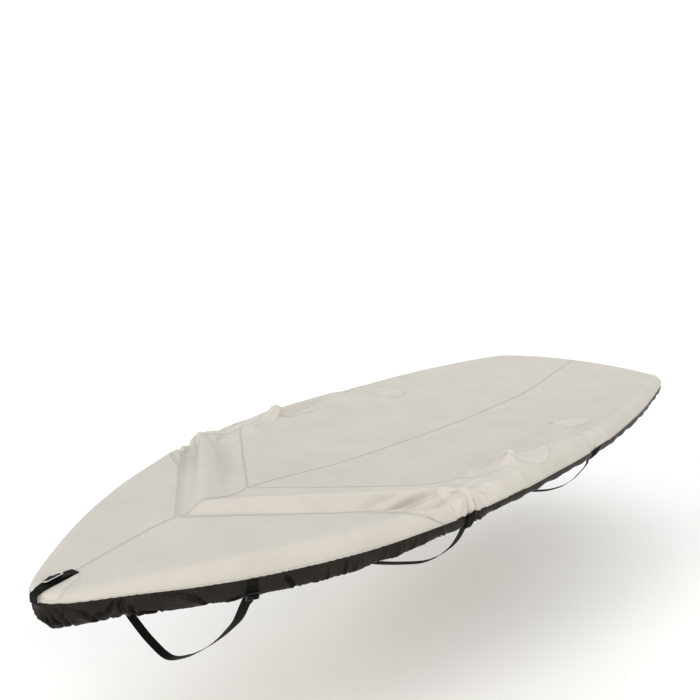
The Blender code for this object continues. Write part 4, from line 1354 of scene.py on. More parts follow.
@dataclass
class GatheredSkirt:
    """The black nylon skirt: gathered at its top seam and drawn in on elastic at its hem."""

    skin: CoverSkin
    nylon: Material
    thread: Material
    fine_pitch: float = 2.6 * MM
    pitch: float = 4.8 * MM
    fine_reach: float = 1.30
    rows: int = 30
    gap: float = 1.0 * MM
    split: float = 0.04 * MM
    waves: tuple[Wave, ...] = (Wave(0.150, 0.4, 5 * MM), Wave(0.213, 1.9, 4 * MM),
                               Wave(0.347, 3.1, 3 * MM))
    straps: tuple[float, ...] = (3.555, 2.680, 1.560)
    calm: float = 60 * MM
    wave_share: float = 0.6
    swell: float = 4 * MM
    pinch: float = 26 * MM
    port_release: float = 18 * MM
    pinch_reach: float = 110 * MM
    stem_fall: float = 9 * MM
    aft_fall: float = 5 * MM
    panel_size: float = 80 * MM
    panel_depth: float = 6.5 * MM
    crinkle_size: float = 23 * MM
    crinkle_depth: float = 3.2 * MM
    elastic_pitch: float = 12.0 * MM
    elastic_depth: float = 2.0 * MM
    gather_pitch: float = 17 * MM
    gather_depth: float = 1.2 * MM
    tuck_in: float = 2.0 * MM
    tuck_up: float = 5.0 * MM
    creases: tuple[Crease, ...] = SKIRT_CREASES
    casing: tuple[tuple[float, float], ...] = (
        (0.9 * MM, -0.9 * MM), (2.2 * MM, -1.3 * MM), (3.4 * MM, -0.6 * MM), (3.9 * MM, 1.0 * MM),
        (3.6 * MM, 4.5 * MM), (3.0 * MM, 9.0 * MM))
    noise: ClothNoise = ClothNoise(23)

    def edge(self, side: Side) -> tuple[Array, Array]:
        """Walk the top's lower edge from the stem to the middle of the transom.

        Args:
            side: the side of the boat.

        Returns:
            Even points of the edge, and the distance of each from the stem.
        """
        form = self.skin.form
        along = np.concatenate((np.linspace(0, TRANSOM_U, 1500),
                                np.linspace(TRANSOM_U, HEM_U, 60)[1:]))
        across = np.linspace(HEM_V, 0.0, 300)[1:]
        u = np.concatenate((along, np.full(across.shape, HEM_U)))
        v = np.concatenate((np.full(along.shape, HEM_V), across))
        points = form.base(u, v, side)
        stem = points[:1] * (1.0, 0.0, 1.0) + (0.0, side * self.split, 0.0)
        points = np.vstack([stem, points])
        total = path_lengths(points)[-1]
        places = np.concatenate((np.arange(0.0, self.fine_reach, self.fine_pitch), np.linspace(
            self.fine_reach, total, int((total - self.fine_reach) / self.pitch))))
        return resample(points, places)[0], places

    @staticmethod
    def outward(points: Array, side: Side, spread: int) -> Array:
        """Give the outward direction in plan at each point of the edge.

        Args:
            points: the edge.
            side: the side of the boat.
            spread: how many points to each side the direction is taken over.

        Returns:
            Level directions.
        """
        padded = np.vstack([points[:1]] * spread + [points] + [points[-1:]] * spread)
        along = padded[2 * spread:] - padded[:-2 * spread]
        return unit(np.stack([side * along[:, 1], -side * along[:, 0], 0 * along[:, 0]], axis=-1))

    def base_point(self, points: Array, outward: Array, places: Array, down: Array,
                   side: Side) -> Array:
        """Give the skirt's main form: its drop, its tuck and its long waves.

        Args:
            points: the top's lower edge, one to a column.
            outward: the outward direction at each.
            places: the distance of each from the stem.
            down: places from the top seam at 0 to the elastic at 1.
            side: the side of the boat.

        Returns:
            Rows of points, one row a column of the skirt.
        """
        form = self.skin.form
        station = points[:, 0] + form.origin[0]
        drop, tuck = form.skirt_drop(station)[:, None], form.skirt_tuck(station)[:, None]
        calm = (self.calm_at(station, self.calm) * self.apart(places, 50 * MM))[:, None]
        middle = np.minimum(1.0, np.abs(points[:, 1]) / 0.06)[:, None]
        shift = 0.0 if side is Side.PORT else 1.3
        wave = sum(w.depth * np.sin(2 * math.pi * places / w.length + w.phase + shift)
                   for w in self.waves)[:, None] * calm * down * self.wave_share
        release = self.port_release if side is Side.PORT else 0.0
        pinch = self.pinch - release * smooth_step(places, 4 * MM, 40 * MM)
        pinch = (pinch * np.exp(-(places / self.pinch_reach) ** 2))[:, None]
        out = self.swell * np.sin(math.pi * down) * calm + wave - tuck * down ** 2 - pinch * down
        longer = (self.stem_fall * np.exp(-((places - 0.11) / 0.07) ** 2)
                  + self.aft_fall * smooth_step(places, 2.2, 3.2))
        drop = drop + longer[:, None] * down
        fall = self.gap + drop * np.sin(math.pi / 2 * np.minimum(down * 1.15, 1.0)) + 0.3 * wave
        x = points[:, :1] + outward[:, :1] * out
        y = points[:, 1:2] + outward[:, 1:2] * out * middle
        y = side * np.maximum(side * y, self.split)
        return np.stack([x, y, points[:, 2:] - fall], axis=-1)

    @staticmethod
    def apart(places: Array, reach: float) -> Array:
        """Give 0 where the halves meet, at the stem and mid-transom, and 1 away from there."""
        return np.clip(np.minimum(places, places[-1] - places) / reach, 0.0, 1.0)

    def calm_at(self, station: Array, reach: float) -> Array:
        """Tell where the straps leave the skirt free.

        Args:
            station: stations.
            reach: how far a strap holds it.

        Returns:
            0 at a strap and 1 well away from every strap.
        """
        calm = np.ones(station.shape)
        for strap in self.straps:
            calm = np.minimum(calm, 1.0 - np.exp(-((station - strap) / reach) ** 4))
        return calm

    def folds(self, places: Array, station: Array, down: Array, side: Side) -> Array:
        """Give the depth of the nylon's folds, which the straps hold flat.

        Args:
            places: the distance of each column from the stem.
            station: the station of each column.
            down: places from the top seam to the elastic.
            side: the side of the boat.

        Returns:
            Depths outward, one row a column.
        """
        s = places[:, None] + (0.0 if side is Side.PORT else 5.0)
        wide = self.noise(s / self.panel_size + 0.75 * down, 0.9 * down + 3.0 + 0.2 * s)
        broad = self.panel_depth * (np.abs(wide) ** 0.6 - 0.50) * np.minimum(1.0, 0.2 + 2 * down)
        fine = self.noise(s / self.crinkle_size - 1.1 * down, 1.6 * down + 17.0)
        crinkle = self.crinkle_depth * (np.abs(fine) ** 0.8 - 0.40) * (0.10 + 0.90 * down)
        wander = 0.9 * self.noise(s / 0.045, 0 * s + 7.7)
        pucker = np.abs(np.sin(math.pi * (s / self.elastic_pitch + wander))) ** 0.7 - 0.6
        uneven = 0.8 + 0.7 * self.noise(s / 0.09, 0 * s + 12.1)
        elastic = 2 * self.elastic_depth * pucker * uneven * smooth_step(down, 0.60, 1.0)
        gather = self.gather_depth * np.sin(2 * math.pi * (s / self.gather_pitch + 1.3 * wander))
        gather = gather * np.exp(-(down / 0.30) ** 2) * smooth_step(down, 0.0, 0.08)
        fall = down * (self.skin.form.skirt_drop(station)[:, None] * 1.05)
        fall = np.maximum(fall, 0.14 * down * (places[:, None] < 0.09))
        along = np.broadcast_to(places[:, None], fall.shape) + (0.0 if side is Side.PORT else 0.013)
        folded = np.zeros(fall.shape)
        for crease in self.creases:
            crease.add_to(folded, along, fall)
        held = (0.12 + 0.88 * self.calm_at(station, 34 * MM))[:, None]
        held = held * (1 - 0.55 * smooth_step(places, 1.5, 2.3))[:, None]
        apart = self.apart(places, 12 * MM)[:, None]
        folded = folded * smooth_step(down, 0.0, 0.14) * (1 - 0.95 * smooth_step(down, 0.62, 0.95))
        folded = folded * (1.25 if side is Side.PORT else 0.8)
        return ((broad + crinkle + elastic + gather) * held + folded) * apart

    def build(self) -> None:
        """Make both halves of the skirt and the row along its casing."""
        rows = StitchRows("skirt_stitching", StitchKind(pitch=5.0 * MM, width=0.8 * MM))
        for side in Side:
            points, places = self.edge(side)
            outward = self.outward(points, side, 5)
            station = points[:, 0] + self.skin.form.origin[0]
            down = np.linspace(0.0, 1.0, self.rows)[None, :]
            sheet = self.base_point(points, outward, places, down, side)
            depth = self.folds(places, station, down, side)
            sheet = sheet + outward[:, None, :] * depth[..., None] * (1.0, 1.0, 0.0)
            hem = self.noise(places / 0.030, 0 * places + 19.0) * 1.2 * MM
            hem = hem + 1.3 * MM * np.sin(2 * math.pi * places / self.elastic_pitch + 9 * hem / MM)
            sheet[..., 2] += hem[:, None] * down ** 3 - 0.12 * depth * down * (1 - 0.6 * down)
            sheet[..., 1] = side * np.maximum(side * sheet[..., 1], self.split)
            top = sheet[:, :1] - outward[:, None, :] * self.tuck_in + (0.0, 0.0, self.tuck_up)
            hems = [sheet[:, -1] - outward * inward + np.array([0.0, 0.0, rise])
                    for inward, rise in self.casing]
            whole = np.concatenate([top, sheet, np.stack(hems, axis=1)], axis=1)
            whole[..., 1] = side * np.maximum(side * whole[..., 1], 0.5 * self.split)
            lengths = np.cumsum(np.linalg.norm(np.diff(whole, axis=1), axis=-1), axis=1)
            cloth = np.stack([np.repeat(places[:, None] * 1.1, whole.shape[1], axis=1),
                              np.hstack([0 * places[:, None], lengths])], axis=-1)
            faces = grid_quads(*whole.shape[:2], flip=side is Side.STARBOARD)
            item = mesh_piece(f"skirt_{side.label}_cloth", whole, faces, cloth)
            fit(item, self.nylon, "nylon", f"skirt_fore_{side.label}", f"skirt_aft_{side.label}")
            casing = whole[4:-4, -9]
            rows.add(casing + outward[4:-4] * 0.3 * MM, outward[4:-4])
        rows.build(self.thread, "nylon")


# ---- Webbing, its buckles and the bow handle


@dataclass(frozen=True)
class WebbingStock:
    """The flat woven stock that every strap is cut from."""

    width: float = 38 * MM
    thickness: float = 1.5 * MM
    selvedge: float = 0.18 * MM
    step: float = 5.0 * MM

    def profile(self) -> list[tuple[float, float]]:
        """Draw the section round the webbing, with a bead at each selvedge.

        Returns:
            Shares of its width, each with a height off its middle.
        """
        flat, bead = self.thickness / 2, self.thickness / 2 + self.selvedge
        upper = [(-0.5, 0.0), (-0.488, 0.75 * flat), (-0.462, bead), (-0.425, bead), (-0.40, flat),
                 (-0.2, flat), (0.0, flat), (0.2, flat), (0.40, flat), (0.425, bead),
                 (0.462, bead), (0.488, 0.75 * flat), (0.5, 0.0)]
        return upper + [(place, -height) for place, height in reversed(upper[1:-1])]

    def lay(self, name: str, centre: Array, across: Array, out: Array,
            width: float | None = None, tip: float = 0.0) -> Piece:
        """Lay a length of webbing along a path.

        Args:
            name: what the piece is called.
            centre: points along its middle.
            across: the direction across it, at each of them or throughout.
            out: the direction that its outer face looks in, given likewise.
            width: its width, where it isn't the stock's own.
            tip: how far back from its far end it is cut on the slant.

        Returns:
            The piece, closed at both ends.
        """
        width = width or self.width
        across, out = np.broadcast_to(across, centre.shape), np.broadcast_to(out, centre.shape)
        lengths = path_lengths(centre)
        left = np.full(len(centre), -0.5)
        if tip:
            left = left + 0.86 * smooth_step(lengths, lengths[-1] - tip, lengths[-1] + 0.2 * tip)
        section = self.profile()
        rings, cloth = [], []
        for share, height in section:
            place = left + (0.5 - left) * (share + 0.5)
            rings.append(centre + across * (place * width)[:, None] + out * height)
            cloth.append(np.stack([lengths, place * width], axis=-1))
        points = np.stack(rings, axis=1)
        around = len(section)
        last = (len(centre) - 1) * around
        faces = ring_quads(len(centre), around)
        faces += [tuple(range(around))[::-1], tuple(range(last, last + around))]
        item = mesh_piece(name, points, faces, np.stack(cloth, axis=1))
        tidy_normals(item)
        return item


def box_stitching(rows: StitchRows, corner: Array, along: Array, across: Array, out: Array,
                  size: tuple[float, float]) -> None:
    """Sew a box with a cross in it, as webbing ends are held.

    Args:
        rows: the rows that it joins.
        corner: the middle of the box's first side.
        along: the direction of its length.
        across: the direction of its width.
        out: the way the face looks.
        size: its length and width.
    """
    ends = [corner + along * a * size[0] + across * b * size[1]
            for a, b in ((0, -0.5), (0, 0.5), (1, 0.5), (1, -0.5))]
    for start, end in ((0, 1), (1, 2), (2, 3), (3, 0), (0, 2), (1, 3)):
        path = np.linspace(ends[start], ends[end], 12)
        rows.add(path, np.tile(out, (12, 1)))


@dataclass(frozen=True)
class LadderFrame:
    """A flat frame with cross bars that webbing threads through."""

    width: float
    height: float
    thickness: float
    bar: float
    bars: int
    corner: float
    round_over: float

    @staticmethod
    def rounded(width: float, height: float, radius: float, middle: float) -> list:
        """Draw a rounded rectangle.

        Args:
            width: its width.
            height: its height.
            radius: the radius of its corners.
            middle: how far up the frame its middle lies.

        Returns:
            Its outline.
        """
        points = []
        for a, b, start in ((1, 1, 0), (-1, 1, 90), (-1, -1, 180), (1, -1, 270)):
            for k in range(7):
                turn = math.radians(start + 15 * k)
                points.append((a * (width / 2 - radius) + radius * math.cos(turn),
                               middle + b * (height / 2 - radius) + radius * math.sin(turn)))
        return points

    def build(self, name: str, centre: Array, across: Array, along: Array, out: Array) -> Piece:
        """Make the frame and set it in place.

        Args:
            name: what the piece is called.
            centre: its middle.
            across: the direction of its width.
            along: the direction of its height.
            out: the way it faces.

        Returns:
            The frame as one closed mesh.
        """
        pitch = (self.height - self.bar) / (self.bars - 1)
        outlines = [self.rounded(self.width, self.height, self.corner, 0.0)]
        for k in range(self.bars - 1):
            middle = -self.height / 2 + self.bar / 2 + pitch * (k + 0.5)
            outlines.append(self.rounded(self.width - 2 * self.bar, pitch - self.bar,
                                         0.35 * (pitch - self.bar), middle))
        curve = bpy.data.curves.new(name, "CURVE")
        curve.dimensions, curve.fill_mode = "2D", "BOTH"
        curve.bevel_depth, curve.bevel_resolution = self.round_over, 3
        curve.extrude, curve.offset = self.thickness / 2 - self.round_over, -self.round_over
        for outline in outlines:
            spline = curve.splines.new("POLY")
            spline.points.add(len(outline) - 1)
            spline.points.foreach_set("co", [c for x, y in outline for c in (x, y, 0.0, 1.0)])
            spline.use_cyclic_u = True
        drawn = add_item(name, curve)
        bpy.context.view_layer.update()
        mesh = bpy.data.meshes.new_from_object(
            drawn.evaluated_get(bpy.context.evaluated_depsgraph_get()))
        bpy.data.objects.remove(drawn, do_unlink=True)
        whole = bmesh.new()
        whole.from_mesh(mesh)
        bmesh.ops.remove_doubles(whole, verts=whole.verts, dist=0.00001)
        for vertex in whole.verts:
            x, y, z = vertex.co
            vertex.co = Vector(centre + across * x + along * y + out * z)
        bmesh.ops.recalc_face_normals(whole, faces=whole.faces)
        for face in whole.faces:
            face.smooth = len(face.verts) < 5
        whole.to_mesh(mesh)
        whole.free()
        return add_item(name, mesh)


class StrapRun(NamedTuple):
    """A belly strap: its station, its stand-off and the hull's skin that it passes round."""

    name: str
    x: float
    stand: float
    buckle_run: float
    tail_lean: float
    tail_rise: float
    skin: tuple[tuple[float, float], ...]


@dataclass
class BellyStraps:
    """The three straps that pass under the hull, with their tabs, buckles and loose tails."""

    skin: CoverSkin
    skirt: GatheredSkirt
    webbing: Material
    plastic: Material
    thread: Material
    stock: WebbingStock = WebbingStock()
    gap: float = 0.4 * MM
    start: float = 6 * MM
    tab_width: float = 40 * MM
    tab_reach: float = 0.667
    tail_width: float = 34 * MM
    tail_stand: float = 1.5 * MM
    tail_twist: float = 50.0
    buckle: LadderFrame = LadderFrame(48 * MM, 34 * MM, 5 * MM, 5.5 * MM, 3, 5 * MM, 1.3 * MM)
    runs: tuple[StrapRun, ...] = (
        StrapRun("fore", 3.555, 3.4 * MM, 0.058, 0.026, 0.022, (
            (0.372, -0.130), (0.340, -0.192), (0.300, -0.240), (0.244, -0.297), (0.169, -0.358),
            (0.090, -0.408), (0.000, -0.440))),
        StrapRun("mid", 2.680, 4.9 * MM, 0.058, 0.018, 0.082, (
            (0.680, -0.095), (0.655, -0.142), (0.620, -0.184), (0.560, -0.234), (0.470, -0.276),
            (0.250, -0.330), (0.000, -0.352))),
        StrapRun("aft", 1.560, 4.9 * MM, 0.051, 0.016, 0.074, (
            (0.728, -0.112), (0.696, -0.160), (0.655, -0.210), (0.590, -0.258), (0.480, -0.298),
            (0.250, -0.335), (0.000, -0.348))))

    def rim_frame(self, x: float, side: Side) -> tuple[Array, Array, Array]:
        """Read the top's edge at a station.

        Args:
            x: the station.
            side: the side of the boat.

        Returns:
            The point of the edge, the way aft along it and the way out from it, both level.
        """
        form = self.skin.form
        us = np.linspace(0.0, TRANSOM_U, 1200)
        u = float(np.interp(-x, -seam_ends(us)[1], us))
        point, ahead, behind = form.base(np.array([u, u - 0.01, u + 0.01]), HEM_V, side)
        along = (behind - ahead) * (1.0, 1.0, 0.0)
        outward = np.array([side * along[1], -side * along[0], 0.0])
        return point, unit(along), unit(outward)

    def column(self, x: float, side: Side, lift: float) -> tuple[Array, Array, Array]:
        """Walk down the skirt at a station.

        Args:
            x: the station.
            side: the side of the boat.
            lift: how far off the skirt.

        Returns:
            Points from the top seam down, the way aft and the way out.
        """
        point, aft, outward = self.rim_frame(x, side)
        down = np.linspace(0.0, 1.0, 13)[None, :]
        column = self.skirt.base_point(point[None], outward[None], np.array([1.0]), down, side)[0]
        run = np.gradient(column, axis=0)
        facing = unit(outward * -run[:, 2:] + np.outer(run @ outward, (0.0, 0.0, 1.0)))
        return column + facing * lift, aft, outward

    def route(self, strap: StrapRun) -> tuple[Array, Array, Array]:
        """Give a strap's outer face from port round to starboard.

        Args:
            strap: the strap.

        Returns:
            Even points, the direction across the strap at each and the way it faces.
        """
        origin = self.skin.form.origin
        halves = []
        for side in Side:
            hung, aft, _ = self.column(strap.x, side, strap.stand)
            hung[0, 2] -= self.start
            hull = np.array([(strap.x, side * half, height) for half, height in strap.skin])
            halves.append((hung, hull - origin, aft))
        (port, port_hull, port_aft), (starboard, starboard_hull, starboard_aft) = halves
        below = np.vstack([port[-1:], port_hull, starboard_hull[-2::-1], starboard[-1:]])
        whole = np.vstack([port[:-1], smooth_path(below, self.stock.step), starboard[-2::-1]])
        route = even_path(whole, self.stock.step)
        depth = (route[:, 2] - port[-1, 2]) / (port_hull[-1, 2] - port[-1, 2])
        turn = np.clip(2.5 * depth - 0.5, 0.0, 1.0)[:, None]
        edge = np.where(route[:, 1:2] > 0, port_aft, starboard_aft)
        across = unit(edge * (1 - turn) + np.array([-1.0, 0.0, 0.0]) * turn)
        along = unit(np.gradient(route, axis=0))
        across = square_to(across, along)
        return route, across, unit(np.cross(along, across))

    def buckle_place(self, strap: StrapRun) -> tuple[Array, Array, Array, Array]:
        """Set a buckle on its strap.

        Args:
            strap: the strap.

        Returns:
            The buckle's middle, and its directions across, up and out.
        """
        route, across, out = self.route(strap)
        ahead, behind = (resample(route, np.array([strap.buckle_run + k]))[0][0]
                         for k in (-4 * MM, 4 * MM))
        middle, wide, face = (values[0] for values in
                              resample(route, np.array([strap.buckle_run]), across, out))
        up = unit(ahead - behind)
        wide = square_to(wide, up)
        face = np.cross(wide, up)
        return middle + face * (self.gap + self.buckle.thickness / 2), wide, up, face

    def build_tail(self, strap: StrapRun) -> None:
        """Thread the loose end over the buckle's middle bar and leave it standing.

        Args:
            strap: the strap that it belongs to.
        """
        centre, wide, up, out = self.buckle_place(strap)
        point, aft, outward = self.rim_frame(strap.x, Side.PORT)
        start = centre + out * (self.buckle.thickness / 2 + self.tail_stand)
        rise = np.array([0.0, 0.0, strap.tail_rise])
        lean = aft * -strap.tail_lean
        stand = outward * max(float((point - start) @ outward) + 0.020, 0.008)
        bends = np.array([
            centre - up * 9.0 * MM - out * 1.6 * MM, centre - up * 6.0 * MM + out * 0.6 * MM,
            start - up * 2.5 * MM - out * 0.6 * MM, start + up * 2.5 * MM - out * 0.6 * MM,
            start + up * 14 * MM, start + rise * 0.5 + lean * 0.5 + stand * 0.8,
            start + rise + lean + stand])
        path = smooth_path(bends, 2.0 * MM)
        share = np.clip(path_lengths(path) / path_lengths(path)[-1] * 1.35 - 0.35, 0.0, 1.0)
        turn = np.radians(self.tail_twist) * share[:, None]
        across = wide * np.cos(turn) + out * np.sin(turn)
        along = unit(np.gradient(path, axis=0))
        across = square_to(across, along)
        face = unit(np.cross(across, along))
        tip = min(0.30 * path_lengths(path)[-1], 26 * MM)
        item = self.stock.lay(f"strap_tail_{strap.name}_webbing", path, across, face,
                              self.tail_width, tip)
        fit(item, self.webbing, "webbing", f"strap_tail_{strap.name}")

    def build(self) -> None:
        """Make every strap with its tabs, buckle, tail and stitching."""
        rows = StitchRows("strap_stitching", WEBBING_STITCH)
        half = self.stock.thickness / 2
        for strap in self.runs:
            route, across, out = self.route(strap)
            item = self.stock.lay(f"belly_strap_{strap.name}_webbing", route - out * half,
                                  across, out)
            fit(item, self.webbing, "webbing", f"belly_strap_{strap.name}")
            for side in Side:
                column, aft, _ = self.column(strap.x, side, self.gap + half)
                total = path_lengths(column)[-1]
                path = resample(column, np.linspace(0.0, self.tab_reach * total, 12))[0]
                face = unit(np.cross(unit(np.gradient(path, axis=0)), aft)) * side
                name = f"strap_tab_{strap.name}_{side.label}"
                tab = self.stock.lay(f"{name}_webbing", path, aft, face, self.tab_width)
                fit(tab, self.webbing, "webbing", name)
            for end, sign in ((0, 1), (-1, -1)):
                run = resample(route, path_lengths(route)[end] + sign * np.array([0.004, 0.034]))[0]
                along = unit(run[1] - run[0])
                box_stitching(rows, run[0], along, across[end], out[end], (0.026, 0.028))
            buckle = self.buckle.build(f"strap_buckle_{strap.name}_frame",
                                       *self.buckle_place(strap))
            fit(buckle, self.plastic, "plastic", f"strap_buckle_{strap.name}")
            self.build_tail(strap)
        rows.build(self.thread, "webbing")


@dataclass
class BowHandle:
    """The webbing over the stem with its steel ladder adjuster."""

    skin: CoverSkin
    webbing: Material
    steel: Material
    thread: Material
    stock: WebbingStock = WebbingStock()
    start_x: float = 3.925
    stand: float = 2.3 * MM
    hang: float = 22 * MM
    nose_radius: float = 7 * MM
    nose_stand: float = 4.5 * MM
    adjuster_x: float = 4.008
    adjuster_shift: float = -5 * MM
    adjuster_tilt: float = 13.0
    doubled: tuple[float, float, float] = (8 * MM, 140 * MM, 7 * MM)
    adjuster: LadderFrame = LadderFrame(36 * MM, 70 * MM, 3 * MM, 4.8 * MM, 3, 8 * MM, 1.25 * MM)

    def route(self) -> Array:
        """Run along the spine and down over the stem.

        Returns:
            Points of the webbing's outer face.
        """
        form = self.skin.form
        bend = LENGTH + self.nose_stand - self.nose_radius
        xs = np.linspace(self.start_x, bend, 40)
        deck = np.stack([xs, 0 * xs, form.spine(xs) + self.stand], axis=-1)
        nose = np.array([bend, 0.0, float(form.spine(np.array(bend))) - self.nose_radius])
        reach = self.nose_radius + self.stand
        turn = np.radians(np.linspace(80, 0, 9))
        over = nose + np.stack([np.cos(turn), 0 * turn, np.sin(turn)], axis=-1) * reach
        fall = np.linspace(0.2, 1.0, 6)[:, None] * np.array([[0.0, 0.0, -self.hang]])
        return np.vstack([deck, over, over[-1] + fall]) - form.origin

    def build(self) -> None:
        """Make the webbing, its threaded fold, its stitching and the adjuster."""
        form = self.skin.form
        route = even_path(self.route(), 3 * MM)
        total = path_lengths(self.route())[-1]
        along = unit(np.gradient(route, axis=0))
        across = np.tile((0.0, 1.0, 0.0), (len(route), 1))
        out = unit(np.cross(along, across))
        item = self.stock.lay("bow_webbing_strip", route - out * self.stock.thickness / 2,
                              across, out)
        fit(item, self.webbing, "webbing", "bow_webbing")
        first, last, rise = self.doubled
        share = np.linspace(0.0, 1.0, 48)
        places = first + (min(last, 0.95 * total) - first) * share
        upper, facing = resample(route, places, out)
        upper = upper + facing * (self.stock.thickness * 0.75
                                  + rise * np.sin(math.pi * share) ** 1.2)[:, None]
        facing = unit(np.cross(np.gradient(upper, axis=0), (0.0, 1.0, 0.0)))
        doubled = self.stock.lay("bow_webbing_doubled", upper, across[:48], facing)
        fit(doubled, self.webbing, "webbing")
        behind, height, ahead = form.spine(self.adjuster_x + np.array([-0.02, 0.0, 0.02]))
        run = unit(np.array([0.04, 0.0, ahead - behind]))
        tilt = math.radians(self.adjuster_tilt)
        level, up = np.array([0.0, 1.0, 0.0]), np.cross(run, (0.0, 1.0, 0.0))
        wide = level * math.cos(tilt) + up * math.sin(tilt)
        face = np.cross(run, wide)
        stand = (self.stand + self.stock.thickness + rise + self.adjuster.thickness / 2
                 + self.adjuster.width / 2 * math.sin(tilt))
        centre = (np.array([self.adjuster_x, self.adjuster_shift, height]) - form.origin
                  + up * stand)
        frame_piece = self.adjuster.build("bow_adjuster_frame", centre, wide, run, face)
        fit(frame_piece, self.steel, "steel", "bow_adjuster")
        bend = np.array([(-27, -5.0), (-20, -4.2), (-13, -1.5), (-7, 1.6), (0, 2.9), (7, 1.6),
                         (13, -1.5), (20, -4.2), (27, -5.0)]) * MM
        bend = resample(bend, np.linspace(0.0, path_lengths(bend)[-1], 25))[0]
        threaded = centre + bend[:, :1] * run + bend[:, 1:] * face
        loop = self.stock.lay("bow_webbing_loop", threaded, wide, face,
                              width=self.adjuster.width - 11 * MM)
        fit(loop, self.webbing, "webbing")
        rows = StitchRows("bow_stitching", WEBBING_STITCH)
        box_stitching(rows, route[1] + along[1] * 2 * MM, along[1], across[1], out[1],
                      (0.028, 0.030))
        rows.build(self.thread, "webbing")


# ---- Finishes


def linear(colour: str) -> tuple[float, float, float, float]:
    """Turn a colour written as sRGB hex into the linear values that a shader takes."""
    parts = [int(colour[k:k + 2], 16) / 255 for k in (1, 3, 5)]
    return (*(c / 12.92 if c <= 0.04045 else ((c + 0.055) / 1.055) ** 2.4 for c in parts), 1.0)


def add_node(tree: Tree, kind: str, fields: dict, inputs: dict) -> bpy.types.Node:
    """Add a node with its settings and links.

    Args:
        tree: the tree that it joins.
        kind: what kind of node it is, without the usual prefix.
        fields: values of its own settings.
        inputs: a value or another node's output for each named or numbered input.

    Returns:
        The new node.
    """
    node = tree.nodes.new(f"ShaderNode{kind}")
    for name, value in fields.items():
        setattr(node, name, value)
    for name, value in inputs.items():
        if isinstance(value, Socket):
            tree.links.new(value, node.inputs[name])
        else:
            node.inputs[name].default_value = value
    return node


class Uneven(NamedTuple):
    """A soft uneven pattern: the size of its patches, how far they break up and its depth."""

    size: float
    detail: float
    depth: float = 0.0

    def inputs(self, place: Socket) -> dict:
        """Give the inputs of the noise that draws it."""
        return {"Vector": place, "Scale": 1 / self.size, "Detail": self.detail, "Roughness": 0.55}


class Weave(NamedTuple):
    """A plain weave: the distances between threads along and across it, and its depth."""

    pitch: float
    rib: float
    depth: float

    def draw(self, tree: Tree, cloth: Socket) -> Socket:
        """Draw its threads, one over and one under.

        Args:
            tree: the tree that they join.
            cloth: metres along and across the cloth.

        Returns:
            Their height, from 0 to 1.
        """
        bands = [add_node(tree, "TexWave", {"bands_direction": axis},
                          {"Vector": cloth, "Scale": 2 * math.pi / (20 * gap), "Distortion": 0.0})
                 for axis, gap in (("X", self.pitch), ("Y", self.rib))]
        cells = add_node(tree, "VectorMath", {"operation": "MULTIPLY"},
                         {0: cloth, 1: (1 / self.pitch, 1 / self.rib, 0.0)})
        over = add_node(tree, "TexChecker", {}, {"Vector": cells.outputs[0], "Scale": 1.0})
        return add_node(tree, "Mix", {"data_type": "FLOAT"},
                        {0: over.outputs["Fac"], 2: bands[0].outputs["Fac"],
                         3: bands[1].outputs["Fac"]}).outputs[0]


@dataclass(frozen=True)
class Finish:
    """What every finish has: its tones, its own values and the heights laid on one another.

    Cloth is measured along its own length and width, and a hard piece along its own axes.
    """

    name: str
    low: str
    high: str
    roughness: float
    specular: float = 0.5
    cloth: bool = False
    dye: Uneven | None = None
    heights: tuple[Uneven, ...] = ()
    weave: Weave | None = None
    others: tuple[tuple[str, float], ...] = ()

    def build(self) -> Material:
        """Make the finish.

        Returns:
            Its material.
        """
        material = bpy.data.materials.new(self.name)
        material.use_nodes = True
        tree = material.node_tree
        tree.nodes.clear()
        inputs = {"Base Color": linear(self.low), "Roughness": self.roughness,
                  "Specular IOR Level": self.specular, **dict(self.others)}
        if self.dye or self.heights or self.weave:
            inputs.update(self.patterns(tree))
        main = add_node(tree, "BsdfPrincipled", {}, inputs)
        add_node(tree, "OutputMaterial", {}, {"Surface": main.outputs[0]})
        return material

    def patterns(self, tree: Tree) -> dict:
        """Draw its uneven dye, its heights and its weave.

        Args:
            tree: the tree that they join.

        Returns:
            What they give the main shader.
        """
        kind, fields, output = (("Attribute", {"attribute_name": CLOTH_MAP}, "Vector")
                                if self.cloth else ("TexCoord", {}, "Object"))
        place = add_node(tree, kind, fields, {}).outputs[output]
        inputs = {}
        if self.dye:
            patches = add_node(tree, "TexNoise", {}, self.dye.inputs(place))
            spread = add_node(tree, "MapRange", {}, {"Value": patches.outputs[0], 1: 0.30,
                                                     2: 0.70, 3: 0.0, 4: 1.0})
            tones = {0: spread.outputs[0], 6: linear(self.low), 7: linear(self.high)}
            inputs["Base Color"] = add_node(tree, "Mix", {"data_type": "RGBA"}, tones).outputs[2]
        layers = [(add_node(tree, "TexNoise", {}, height.inputs(place)).outputs[0], height.depth)
                  for height in self.heights]
        if self.weave:
            layers.append((self.weave.draw(tree, place), self.weave.depth))
        for height, depth in layers:
            below = {"Normal": inputs["Normal"]} if "Normal" in inputs else {}
            inputs["Normal"] = add_node(tree, "Bump", {}, {"Height": height, "Distance": depth,
                                                           **below}).outputs[0]
        return inputs


